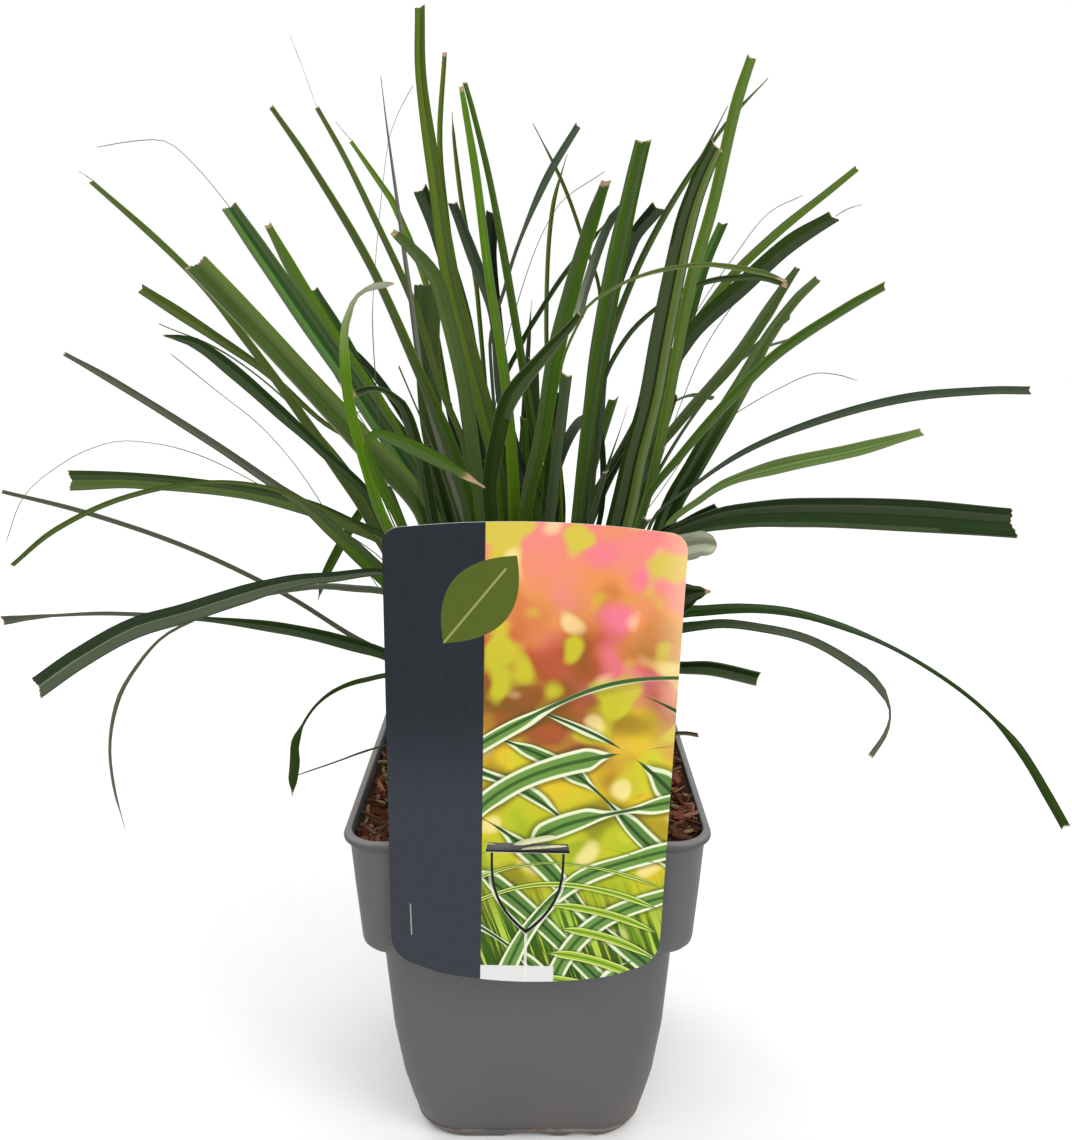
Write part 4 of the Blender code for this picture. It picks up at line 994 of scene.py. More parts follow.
# %% Rows of leaves
CUT = "cut"
FINE = "fine"
SHOWN_LEAVES = (
    (30, CUT, (505, 505, 18), (466, 340, 19), (450, 275, 18), (434, 170, 14), (421, 75, 11), (420, 6, 10)),
    (60, CUT, (462, 330, 5), (446, 210, 5), (440, 140, 5), (445, 52, 4)),
    (20, CUT, (514, 500, 12), (505, 380, 10), (489, 276, 9), (476, 174, 8), (466, 114, 6), (461, 86, 4)),
    (35, CUT, (540, 480, 8), (530, 410, 8), (508, 276, 8), (490, 180, 6), (474, 114, 5), (465, 82, 4)),
    (60, FINE, (478, 300, 4), (462, 204, 4), (458, 174, 4), (454, 139, 3), (452, 112, 0)),
    (10, CUT, (471, 515, 15), (458, 467, 15), (447, 436, 14), (424, 382, 10), (371, 265, 8), (309, 161, 6),
     (271, 106, 4)),
    (50, CUT, (465, 450, 6), (442, 390, 6), (415, 306, 7), (373, 214, 6), (344, 155, 5), (317, 107, 4)),
    (95, CUT, (430, 300, 6), (395, 206, 6), (381, 184, 5), (351, 141, 3)),
    (-20, CUT, (470, 420, 14), (440, 285, 15), (428, 265, 14), (403, 239, 10), (392, 231, 5)),
    (70, CUT, (452, 510, 20), (433, 428, 23), (428, 352, 24), (428, 281, 27)),
    (95, CUT, (470, 350, 16), (440, 235, 16), (421, 188, 15)),
    (30, CUT, (544, 519, 13), (521, 469, 14), (503, 400, 12), (495, 314, 12), (475, 259, 12), (453, 202, 9)),
    (110, CUT, (505, 400, 10), (491, 260, 12), (493, 211, 13)),
    (85, CUT, (490, 350, 3), (506, 283, 3), (519, 242, 3), (547, 177, 7), (578, 125, 6)),
    (130, FINE, (600, 304, 3), (580, 230, 3), (562, 181, 3), (533, 123, 0)),
    (110, FINE, (561, 519, 9), (558, 469, 9), (548, 380, 4), (547, 283, 4), (553, 206, 4), (567, 154, 0)),
    (20, CUT, (526, 519, 13), (542, 434, 15), (556, 350, 17), (570, 294, 16), (590, 226, 14), (606, 180, 9)),
    (10, CUT, (577, 519, 12), (589, 420, 15), (600, 344, 19), (615, 263, 20), (633, 181, 17), (643, 139, 16)),
    (100, CUT, (600, 350, 11), (631, 242, 13), (658, 206, 14)),
    (-20, CUT, (622, 515, 27), (635, 456, 25), (650, 400, 23), (661, 340, 23), (684, 229, 21),
     (700, 180, 18), (717, 144, 15)),
    (15, CUT, (641, 515, 9), (664, 421, 10), (688, 290, 12), (712, 204, 12), (735, 105, 12), (751, 56, 10)),
    (60, FINE, (605, 360, 6), (631, 283, 6), (657, 229, 6), (685, 182, 5), (711, 144, 3), (733, 115, 3),
     (768, 78, 0)),
    (120, FINE, (597, 396, 4), (645, 252, 4), (700, 159, 3), (728, 105, 0)),
    (100, CUT, (660, 390, 8), (720, 290, 8), (773, 236, 8), (831, 189, 6), (857, 168, 5)),
    (40, CUT, (640, 430, 13), (688, 338, 15), (743, 285, 17), (789, 244, 16), (834, 216, 12)),
    (140, CUT, (660, 420, 9), (691, 311, 11), (706, 262, 10), (723, 223, 9)),
    (-45, FINE, (560, 380, 2), (586, 308, 2), (602, 295, 2), (631, 279, 2), (664, 269, 3), (704, 264, 3),
     (735, 267, 4), (766, 273, 4), (787, 281, 0)),
    (20, CUT, (590, 400, 4), (616, 336, 4), (662, 293, 3), (698, 277, 4), (725, 273, 5), (751, 272, 5),
     (776, 280, 3)),
    (20, CUT, (640, 480, 8), (680, 426, 9), (740, 361, 12), (774, 314, 12), (790, 290, 9), (807, 267, 5)),
    (45, CUT, (670, 509, 20), (694, 466, 20), (720, 421, 20), (747, 375, 17), (766, 340, 12), (795, 300, 9),
     (818, 278, 7)),
    (0, CUT, (645, 504, 6), (680, 455, 8), (734, 394, 10), (779, 351, 10), (849, 305, 9), (885, 285, 7)),
    (60, CUT, (650, 525, 3), (699, 481, 3), (752, 447, 5), (828, 417, 7), (908, 397, 8), (988, 390, 7),
     (1030, 390, 7)),
    (-10, CUT, (665, 530, 5), (704, 496, 6), (728, 481, 8), (779, 465, 14), (854, 449, 13), (922, 431, 7)),
    (-35, CUT, (660, 545, 12), (690, 527, 16), (734, 516, 23), (801, 512, 28), (908, 515, 31),
     (1015, 523, 28)),
    (-60, FINE, (650, 612, 26), (672, 603, 28), (686, 595, 26), (698, 592, 13), (711, 591, 0)),
    (-60, CUT, (650, 622, 15), (711, 609, 10), (774, 609, 8), (828, 621, 6), (890, 646, 3), (947, 680, 3),
     (989, 714, 3), (1020, 750, 8), (1050, 800, 9), (1065, 827, 9)),
    (-85, CUT, (650, 640, 13), (711, 623, 9), (756, 626, 8), (810, 639, 8), (863, 670, 9), (881, 689, 7),
     (889, 705, 2), (890, 718, 2), (885, 734, 4), (870, 756, 5)),
    (-70, CUT, (650, 662, 12), (678, 666, 12), (711, 667, 14), (760, 678, 14)),
    (-10, CUT, (430, 520, 24), (364, 442, 25), (284, 355, 24), (244, 312, 24), (195, 261, 24)),
    (80, CUT, (372, 520, 12), (337, 466, 12), (290, 398, 9), (247, 340, 8), (203, 285, 6), (158, 240, 6),
     (91, 181, 4)),
    (115, CUT, (375, 462, 4), (320, 419, 4), (266, 371, 7), (223, 341, 9), (179, 312, 11), (141, 288, 9)),
    (40, FINE, (375, 505, 9), (320, 448, 9), (277, 408, 13), (234, 370, 14), (199, 344, 11), (181, 338, 6),
     (163, 335, 0)),
    (-25, CUT, (395, 590, 16), (362, 555, 17), (335, 531, 14), (308, 507, 11), (277, 486, 8), (212, 442, 7),
     (114, 381, 6), (64, 353, 3)),
    (10, CUT, (395, 550, 13), (348, 523, 13), (308, 507, 15), (241, 491, 13), (134, 480, 15), (69, 480, 19)),
    (-50, CUT, (380, 545, 3), (330, 512, 3), (268, 487, 3), (201, 482, 3), (121, 498, 4), (54, 530, 4),
     (12, 565, 3)),
    (70, CUT, (400, 665, 5), (348, 633, 4), (284, 593, 4), (188, 547, 4), (86, 512, 4), (2, 491, 3)),
    (-85, CUT, (400, 580, 5), (321, 577, 10), (281, 583, 14), (241, 594, 18), (188, 611, 19), (134, 627, 20),
     (80, 657, 20), (36, 688, 20)),
    (-60, FINE, (400, 600, 6), (346, 587, 6), (308, 587, 4), (241, 600, 2), (193, 620, 2), (161, 638, 2),
     (134, 670, 3), (118, 700, 4), (110, 743, 3), (114, 786, 3), (125, 828, 0)),
    (-50, CUT, (400, 662, 11), (348, 642, 13), (281, 627, 11), (198, 618, 4), (112, 613, 3), (54, 615, 2),
     (30, 617, 4), (2, 620, 8)),
    (90, FINE, (390, 490, 7), (368, 503, 8), (352, 525, 9), (335, 555, 9), (324, 578, 8), (318, 600, 0)),
    (-75, FINE, (400, 677, 4), (362, 680, 4), (335, 690, 3), (316, 705, 2), (303, 724, 2), (296, 743, 9),
     (296, 761, 11), (294, 778, 10), (292, 795, 0)),
    (30, CUT, (425, 500, 18), (370, 408, 20), (309, 320, 21), (266, 258, 19), (229, 205, 16)),
    (90, CUT, (404, 447, 10), (330, 330, 12), (294, 271, 12), (268, 224, 7)),
    (120, CUT, (433, 480, 12), (385, 411, 12), (340, 333, 12), (314, 289, 8)),
    (-30, FINE, (385, 520, 11), (368, 470, 11), (351, 407, 11), (346, 367, 11), (345, 329, 8), (349, 314, 6),
     (354, 300, 4), (361, 292, 2), (369, 288, 4), (378, 285, 6), (387, 284, 5), (394, 283, 0)),
    (-10, FINE, (425, 470, 12), (418, 448, 12), (410, 422, 12), (403, 405, 9), (393, 396, 7), (384, 390, 4),
     (370, 388, 5), (358, 392, 7), (347, 396, 0)),
    (-60, FINE, (400, 520, 9), (385, 490, 10), (370, 455, 8), (368, 437, 5), (377, 433, 8), (393, 438, 11),
     (415, 448, 14), (439, 460, 13), (458, 471, 8), (485, 487, 0)),
    (-30, CUT, (490, 500, 14), (500, 426, 16), (511, 395, 17), (547, 351, 12), (568, 328, 8), (580, 313, 5)),
    (-45, CUT, (655, 556, 26), (672, 549, 28), (690, 545, 28), (704, 543, 27), (717, 545, 25)),
    (-20, CUT, (660, 535, 9), (680, 525, 9), (700, 514, 9), (718, 506, 9)),
    (30, CUT, (597, 440, 9), (602, 380, 9), (610, 320, 9), (619, 270, 9), (625, 230, 8), (621, 208, 7),
     (610, 222, 8), (599, 248, 9), (590, 275, 9), (583, 297, 9), (579, 316, 10)),
    (60, FINE, (500, 400, 4), (523, 340, 4), (537, 316, 4), (562, 277, 4), (590, 242, 4), (607, 221, 0)),
    (70, CUT, (597, 519, 5), (600, 469, 6), (596, 414, 5), (594, 385, 4)),
    (60, CUT, (583, 519, 9), (604, 480, 10), (627, 441, 10), (645, 405, 9), (660, 370, 8), (672, 330, 6)),
)
FILL_BANDS = (
    (50, 130, 9, (150, 200), (20, 45)),
    (25, 155, 9, (210, 290), (60, 105)),
    (200, 340, 8, (95, 132), (18, 40)),
    (0, 360, 12, (120, 185), (8, 28)),
)
print("rows", len(SHOWN_LEAVES), "and", sum(band[2] for band in FILL_BANDS), "more by rule")

# %% [markdown]
# ## The front view
# The rows give picture points, so two helpers lead from a place to where the camera sees it
# and back again. The way back needs to know how far away the place is.

# %% The front view
EYE = Vector((3.5 * MM, -449 * MM, 374 * MM))
LOOK_DOWN = math.radians(14.88)
VIEW_MIDDLE = (536, 570)
VIEW_SCALE = 1050


def seen_at(place):
    """Where the front view shows a place, and how many picture points a metre has there."""
    back = place.y - EYE.y
    low = EYE.z - place.z
    away = back * math.cos(LOOK_DOWN) + low * math.sin(LOOK_DOWN)
    down = low * math.cos(LOOK_DOWN) - back * math.sin(LOOK_DOWN)
    scale = VIEW_SCALE / away
    return VIEW_MIDDLE[0] + scale * (place.x - EYE.x), VIEW_MIDDLE[1] + scale * down, scale


def place_seen(x, y, depth):
    """The place at a given depth that the front view shows at a picture point."""
    right = (x - VIEW_MIDDLE[0]) / VIEW_SCALE
    down = (y - VIEW_MIDDLE[1]) / VIEW_SCALE
    away = (depth - EYE.y) / (math.cos(LOOK_DOWN) - down * math.sin(LOOK_DOWN))
    height = EYE.z - away * (down * math.cos(LOOK_DOWN) + math.sin(LOOK_DOWN))
    return Vector((EYE.x + away * right, depth, height))


middle_seen = seen_at(Vector((0, 0, 0.3)))
print("a place 0.3 m up in the middle is seen at", [round(value) for value in middle_seen[:2]])

# %% [markdown]
# ## Lines of a leaf
# A leaf's line is a smooth curve through its places. It is cut into even steps along its
# length, because uneven ones would show as kinks, and the widths follow the same steps.

# %% Lines of a leaf
ALONG = 60


class Leaf:
    """A leaf's own facts: its places and widths, its end, its roll, and where it is seen."""

    def __init__(self, places, widths, end, roll, spots=()):
        self.places = places
        self.widths = widths
        self.end = end
        self.roll = roll
        self.spots = spots
        self.line = places

    def slope(self):
        tip = self.places[-1]
        return math.hypot(tip.x, tip.y) / max(tip.z - SOIL_TOP, 1 * MM)

    def heading(self):
        return Vector((self.places[-1].x, self.places[-1].y, 0)).normalized()


def path_marks(points):
    """How far along its path each point lies."""
    marks = [0.0]
    for a, b in zip(points, points[1:]):
        marks.append(marks[-1] + math.dist(a, b))
    return marks


def even_steps(marks, count):
    """For even steps along a path: the stretch each one falls in and how far into it."""
    steps = []
    for step in range(count + 1):
        mark = marks[-1] * step / count
        i = max(k for k in range(len(marks) - 1) if marks[k] <= mark + 1e-9)
        steps.append((i, min((mark - marks[i]) / (marks[i + 1] - marks[i]), 1.0)))
    return steps


def even_widths(points, widths, count):
    """Widths at even steps along a path, from those at its given places."""
    spread = []
    for i, t in even_steps(path_marks(points), count):
        spread.append(widths[i] + (widths[i + 1] - widths[i]) * (3 * t ** 2 - 2 * t ** 3))
    return spread


def smooth_line(points, count):
    """Points evenly along a smooth curve through the given places."""
    marks = path_marks(points)
    slopes = []
    for i in range(len(points)):
        low = max(i - 1, 0)
        high = min(i + 1, len(points) - 1)
        slopes.append((points[high] - points[low]) / (marks[high] - marks[low]))
    if len(points) > 2:
        first = (points[1] - points[0]) / (marks[1] - marks[0])
        slopes[0] = (first * 2 - slopes[1]).normalized()
    line = []
    for i, t in even_steps(marks, count):
        span = marks[i + 1] - marks[i]
        a = points[i] * (2 * t ** 3 - 3 * t ** 2 + 1) + slopes[i] * span * (t ** 3 - 2 * t ** 2 + t)
        b = points[i + 1] * (3 * t ** 2 - 2 * t ** 3) + slopes[i + 1] * span * (t ** 3 - t ** 2)
        line.append(a + b)
    return line


print("steps along a fine leaf", ALONG)

# %% [markdown]
# ## Frames and the plain blade
# Along its line, each point of a leaf gets three directions: ahead, sideways across the blade,
# and up from its face. Near the root a blade wraps its sheath, and further out the shown ones
# turn their face to the front. The plain blade is the coarse one of the solid model.

# %% Frames and the plain blade
NARROW = 2.8 * MM
BROAD = 9 * MM
ROOT_FOLD = 50
FOLD_OPENS = 24
FULL_FOLD_HALF = 2 * MM
RIDGE_TOP = 0.85
RIDGE_FALL = 0.5
LEAST_HALF_WIDTH = 0.55 * MM
TIP_NOTCH = 0.22
FACING_SHARE = 0.35


def leaf_frames(leaf, line):
    """At each place of a line: the directions ahead, sideways and up from the face."""
    count = len(line) - 1
    frames = []
    for i in range(count + 1):
        share = i / count
        ahead = (line[min(i + 1, count)] - line[max(i - 1, 0)]).normalized()
        side = ahead.cross(Vector((0, 0, 1))).normalized()
        if leaf.spots:
            facing = ahead.cross(Vector((0, 1, 0))).normalized()
            if facing.dot(side) < 0:
                facing = -facing
            side = side.lerp(facing, min(share / FACING_SHARE, 1.0)).normalized()
        side.rotate(Matrix.Rotation(leaf.roll * share, 3, ahead))
        if frames and side.dot(frames[-1][1]) < 0:
            side = -side
        frames.append((ahead, side, side.cross(ahead).normalized()))
    up = frames[round(count * 0.6)][2]
    if (0.5 * up.z - up.y if leaf.spots else up.z) < 0:
        frames = [(ahead, -side, -up) for ahead, side, up in frames]
    return frames


def width_share(share, end):
    """How wide a leaf is along its length, as a share of its full width."""
    root = 0.42 + 0.58 * min(share / 0.35, 1.0) ** 0.8
    if end == FINE:
        return root * max(1 - max(share - 0.35, 0) / 0.65, 0.0) ** 0.75
    return root * (1 - 0.12 * max(share - 0.6, 0) / 0.4)


def fold_angle(share, half, narrow):
    """How steeply a blade is folded: most at its root, and less where it is slim."""
    if narrow:
        return 0
    fold = math.radians(ROOT_FOLD - FOLD_OPENS * min(share / 0.3, 1.0))
    return fold * min(half / FULL_FOLD_HALF, 1.0)


def plain_blade(leaf, thickness):
    """The coarse blade of the solid model, used to find out which leaves would touch."""
    widest = max(leaf.widths)
    narrow = widest < NARROW
    broad = widest >= BROAD and leaf.spots
    across = 1 if narrow else (4 if broad else 2)
    along = len(leaf.line) - 1
    frames = leaf_frames(leaf, leaf.line)
    bm = bmesh.new()
    bmesh.ops.create_grid(bm, x_segments=along, y_segments=across, size=1)
    for vert in bm.verts:
        index = round((vert.co.x + 1) / 2 * along)
        share = index / along
        ahead, side, up = frames[index]
        edge = abs(vert.co.y)
        half = max(leaf.widths[index] / 2, LEAST_HALF_WIDTH)
        fold = fold_angle(share, half, narrow)
        crease = min(edge, RIDGE_TOP - RIDGE_FALL * edge) if broad else edge
        notch = TIP_NOTCH * half * (1 - edge) if index == along and leaf.end == CUT else 0
        place = leaf.line[index] + side * (vert.co.y * half * math.cos(fold))
        vert.co = place + up * (crease * math.sin(fold) * half) - ahead * notch
    bmesh.ops.triangulate(bm, faces=bm.faces[:], quad_method="FIXED")
    bmesh.ops.solidify(bm, geom=bm.faces[:], thickness=thickness)
    bmesh.ops.recalc_face_normals(bm, faces=bm.faces[:])
    return bm


print("fold of a plain blade", ROOT_FOLD, "degrees at its root")

# %% [markdown]
# ## Shoots and their leaves
# Leaves grow from 21 shoots in two rings. Each leaf joins the shoot that lies in its direction
# and has room, and starts lower in the sheath the more it leans. The numbers are the solid
# model's own, because both have to grow the same tuft.

# %% Shoots and their leaves
RINGS = (("outer", 14, 28 * MM, 0.0), ("inner", 7, 13 * MM, math.pi / 7))
UPRIGHT_SLOPE = 0.36
CROWDING = math.radians(1.2)
ROOT_SPREAD = 1.9 * MM
ROOT_HEIGHT = 6 * MM
ROOT_RISE = 12 * MM


def shoot_places():
    places = []
    for ring, count, radius, turn in RINGS:
        for i in range(count):
            angle = turn + i * 2 * math.pi / count
            spot = Vector((radius * math.cos(angle), radius * math.sin(angle), 0))
            places.append((ring, angle, spot))
    return places


def nearest_shoot(shoots, leaf, load):
    ring = "inner" if leaf.slope() < UPRIGHT_SLOPE else "outer"
    heading = leaf.heading()
    direction = math.atan2(heading.y, heading.x)
    best = None
    for index, (kind, angle, place) in enumerate(shoots):
        if kind != ring:
            continue
        away = abs((direction - angle + math.pi) % (2 * math.pi) - math.pi)
        away += CROWDING * load[index] ** 2
        if best is None or away < best[0]:
            best = (away, index)
    load[best[1]] += 1
    return best[1]


def root_place(shoot, leaf, rank):
    place = shoot[2] + leaf.heading() * ROOT_SPREAD * (2 * rank - 1)
    place.z = SOIL_TOP + ROOT_HEIGHT + ROOT_RISE * (1 - rank)
    return place


print("shoots", sum(ring[1] for ring in RINGS))

# %% [markdown]
# ## The course of each leaf
# A shown leaf runs through its picture points, coming forward or going back a little more at
# every step. The others are arcs that lean over more and more. Both are drawn on seeded
# numbers in one fixed order.

# %% The course of each leaf
LEAST_SEGMENTS = 4
MOST_SEGMENTS = 12
BEND_PER_SEGMENT = 20
SHOWN_ROLL = (-16, 16)
FILL_START_LEAN = (6, 20)
FILL_WIDTHS = (3.2, 9.5)
FILL_ROLL = (-55, 55)
FILL_CUT_SHARE = 0.75
BOW_POWER = 1.3
DEPTH_POWER = 1.15
SEEN_SHARE = 0.88


def segments(line):
    turning = sum((b - a).angle(c - b) for a, b, c in zip(line, line[1:], line[2:]))
    return min(LEAST_SEGMENTS + round(turning / math.radians(BEND_PER_SEGMENT)), MOST_SEGMENTS)


def shown_leaf(row, rng):
    depth, end, spots = row[0] * MM, row[1], row[2:]
    tip = place_seen(*spots[-1][:2], depth)
    return Leaf([tip], [], end, math.radians(rng.uniform(*SHOWN_ROLL)), spots)


def arched_leaf(direction, length, lean, rng):
    start = math.radians(rng.uniform(*FILL_START_LEAN))
    steps = LEAST_SEGMENTS + round((lean - start) / math.radians(1.3 * BEND_PER_SEGMENT))
    heading = Vector((math.cos(direction), math.sin(direction), 0))
    places = [Vector((0, 0, SOIL_TOP))]
    for i in range(steps):
        angle = start + (lean - start) * ((i + 0.5) / steps) ** BOW_POWER
        step = heading * math.sin(angle) + Vector((0, 0, math.cos(angle)))
        places.append(places[-1] + step * length / steps)
    end = CUT if rng.random() < FILL_CUT_SHARE else FINE
    roll = math.radians(rng.uniform(*FILL_ROLL))
    width = rng.uniform(*FILL_WIDTHS) * MM
    widths = [width * width_share(i / steps, end) for i in range(steps + 1)]
    return Leaf(places, widths, end, roll)


def lay_line(leaf, root):
    if not leaf.spots:
        start = leaf.places[0]
        leaf.line = [root + (place - start) for place in leaf.places]
        leaf.fine_line = smooth_line(leaf.line, ALONG)
        leaf.fine_widths = even_widths(leaf.line, leaf.widths, ALONG)
        return
    marks = path_marks([seen_at(root)[:2]] + [spot[:2] for spot in leaf.spots])
    reach = leaf.places[-1].y - root.y
    drawn = [root]
    widths = []
    for (x, y, width), mark in zip(leaf.spots, marks[1:]):
        drawn.append(place_seen(x, y, root.y + reach * (mark / marks[-1]) ** DEPTH_POWER))
        widths.append(width / seen_at(drawn[-1])[2] / SEEN_SHARE)
    widths.insert(0, widths[0] * 0.5)
    count = segments(smooth_line(drawn, 24))
    leaf.line = smooth_line(drawn, count)
    leaf.widths = even_widths(drawn, widths, count)
    leaf.fine_line = smooth_line(drawn, ALONG)
    leaf.fine_widths = even_widths(drawn, widths, ALONG)


print("lean at the start", FILL_START_LEAN, "degrees")

# %% [markdown]
# ## Keeping leaves clear
# A leaf that would cross another shoot, the label or the rim is turned by the least amount
# that clears it. A search tree of each plain blade tells quickly whether two of them touch.

# %% Keeping leaves clear
BEND_SIZES = (1.5, 3, 5, 7, 10, 14)
BEND_WAYS = ((1, 0), (-1, 0), (0, 1), (0, -1), (1, 1), (-1, -1), (1, -1), (-1, 1))
SHEATH_DEPTH = 12 * MM
SHEATH_HEIGHT = 30 * MM
SHEATH_RADIUS = 3.6 * MM
SHEATH_TIP_RADIUS = 2.7 * MM
CLEARANCE = 0.5 * MM
BLADE_THICKNESS = 0.7 * MM


def bend_line(line, outward, turn, lean):
    """A line turned about its root and leaned over, by more and more up to its middle."""
    tilt_axis = Vector((-outward.y, outward.x, 0)).normalized()
    bent = []
    for i, point in enumerate(line):
        share = min(2 * i / (len(line) - 1), 1)
        around = Matrix.Rotation(turn * share, 3, "Z")
        over = Matrix.Rotation(lean * share, 3, tilt_axis)
        bent.append(line[0] + around @ over @ (point - line[0]))
    return bent


def bend(leaf, turn, lean):
    outward = leaf.line[-1] - leaf.line[0]
    bent = copy.copy(leaf)
    bent.line = bend_line(leaf.line, outward, turn, lean)
    bent.fine_line = bend_line(leaf.fine_line, outward, turn, lean)
    return bent


def search_tree(bm):
    tree = BVHTree.FromBMesh(bm)
    bm.free()
    return tree


def bend_clear(leaf, index, kept, fixed):
    """The least bent copy of a leaf that clears the other shoots and the fixed pieces."""
    tries = [(0.0, 0.0)]
    for size in BEND_SIZES:
        for turn, lean in BEND_WAYS:
            tries.append((math.radians(size * turn), math.radians(size * lean)))
    for turn, lean in tries:
        candidate = bend(leaf, turn, lean)
        tree = search_tree(plain_blade(candidate, BLADE_THICKNESS + 2 * CLEARANCE))
        others = [other for shoot, other in kept if shoot != index]
        if all(not tree.overlap(other) for other in others + fixed):
            return candidate, tree
    return None, None


def plain_sheath(place):
    bm = bmesh.new()
    height = SHEATH_DEPTH + SHEATH_HEIGHT
    middle = place + Vector((0, 0, SOIL_TOP - SHEATH_DEPTH + height / 2))
    low, top = SHEATH_RADIUS + CLEARANCE, SHEATH_TIP_RADIUS + CLEARANCE
    add_cylinder(bm, middle, low, height, sides=6, top=top)
    return bm


print("bends to try", len(BEND_SIZES) * len(BEND_WAYS))

# %% [markdown]
# ## Growing the tuft
# Now the whole tuft is drawn, each leaf is given its shoot and its line, and one after another
# they are bent clear of the pieces that stand already.


# %% Growing the tuft
def grow_leaves(shoots, fixed):
    """Every leaf of the tuft, each bent clear of the others, with its shoot and its row."""
    rng = random.Random(7)
    wanted = [shown_leaf(row, rng) for row in SHOWN_LEAVES]
    for first, last, number, lengths, leans in FILL_BANDS:
        for i in range(number):
            direction = math.radians(first + (last - first) * (i + rng.uniform(0.2, 0.8)) / number)
            length = rng.uniform(*lengths) * MM
            wanted.append(arched_leaf(direction, length, math.radians(rng.uniform(*leans)), rng))
    load = [0] * len(shoots)
    homes = [nearest_shoot(shoots, leaf, load) for leaf in wanted]
    for index, shoot in enumerate(shoots):
        mates = [leaf for leaf, home in zip(wanted, homes) if home == index]
        mates.sort(key=Leaf.slope)
        for rank, leaf in enumerate(mates):
            lay_line(leaf, root_place(shoot, leaf, rank / max(len(mates) - 1, 1)))
    kept = [(index, search_tree(plain_sheath(shoot[2]))) for index, shoot in enumerate(shoots)]
    grown = []
    for row, (index, leaf) in enumerate(zip(homes, wanted)):
        clear, tree = bend_clear(leaf, index, kept, fixed)
        if clear:
            grown.append((index, row, clear))
            kept.append((index, tree))
    return grown


fixed_trees = []
for name in ("pot", "potting_mix", "label"):
    solid = bmesh.new()
    solid.from_mesh(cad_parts[name].data)
    fixed_trees.append(search_tree(solid))
SHOOTS = shoot_places()
grown_leaves = grow_leaves(SHOOTS, fixed_trees)
print("leaves grown", len(grown_leaves))

# %% [markdown]
# ## Leaf finish
# A sedge blade is glossy above and greyer below, with fine parallel veins, a lighter keel, pale
# edges, and a thin dry line where it was trimmed. Each leaf also has its own green. Shade is
# painted in too: one half of each blade is darker than the other, and the greens darken towards
# the root for the shade inside the crown. The mesh carries that green, the place across and
# along the blade, and the distance from the tip, so one finish serves every leaf and stays on the
# blade however it bends.

# %% Leaf finish
leafy = Finish("leaf_green_veined")
across, along, to_tip = leafy.own("leaf_place")
under, lean, dry = leafy.own("leaf_kind")
tint = leafy.colour_of("leaf_tint")
where = leafy.place()
strands = leafy.math("MULTIPLY_ADD", across, 11, leafy.times(lean, 60))
veins = leafy.noise(leafy.join(strands, leafy.times(along, 3.5)), 1.6, 4, 0.62)
bands = leafy.math("MULTIPLY_ADD", across, 2.6, leafy.times(lean, 35))
stripes = leafy.noise(leafy.join(bands, leafy.times(along, 1.6)), 1.3, 2, 0.5)
mottle = leafy.noise(where, 55, 3)
off_keel = leafy.math("ABSOLUTE", across)
# Painted shade: one half of each blade, either side of the keel, is painted lighter and the other darker, as
# one lit and one shaded side. The leaf's own value picks which.
painted_half_shade = leafy.math("MULTIPLY_ADD", leafy.step(across, -0.06, 0.06), 2, -1)
shade = leafy.math("MULTIPLY_ADD", leafy.times(painted_half_shade, lean), 0.28, 0.08)
for pattern, strength in ((stripes, 0.85), (veins, 0.6), (mottle, 0.28)):
    shade = leafy.math("MULTIPLY_ADD", pattern, strength, shade)
green = leafy.mix(1.0, tint, leafy.join(shade, shade, shade), "MULTIPLY")
# Painted shade: the greens darken towards the root, for the shade deep inside the crown.
crown_shade_green = leafy.mix(veins, screen(20, 40, 6), screen(52, 88, 14))
green = leafy.layer(green, crown_shade_green, leafy.step(along, 0.5, 0.1), 0.5)
green = leafy.layer(green, screen(88, 98, 74), under, 0.35)
keel = leafy.times(leafy.step(off_keel, 0.055, 0.02), leafy.step(dry, 0.2, 0.0))
green = leafy.layer(green, screen(136, 160, 96), keel, 0.3)
rim = leafy.mix(leafy.step(lean, -0.2, 0.2), screen(24, 38, 14), screen(116, 122, 92))
green = leafy.layer(green, rim, leafy.step(off_keel, 0.92, 0.99), 0.45)
fleck = leafy.times(leafy.step(leafy.cells(where, 420), 0.1, 0.04), leafy.step(mottle, 0.6, 0.68))
green = leafy.layer(green, screen(140, 112, 60), fleck, 0.7)
ragged = leafy.times(dry, leafy.math("MULTIPLY_ADD", veins, 1.2, 0.4))
dried = leafy.step(leafy.math("DIVIDE", to_tip, ragged), 1.15, 0.75)
green = leafy.mix(dried, green, leafy.mix(veins, screen(120, 92, 64), screen(206, 178, 140)))
leafy.finish(
    Base_Color=green,
    Roughness=leafy.math("MULTIPLY_ADD", under, 0.15, leafy.step(veins, 0.25, 0.75, 0.38, 0.52)),
    Specular_IOR_Level=0.06,
    Normal=leafy.bump(veins, 0.00008, 0.4),
)
print("finish", leafy.material.name)
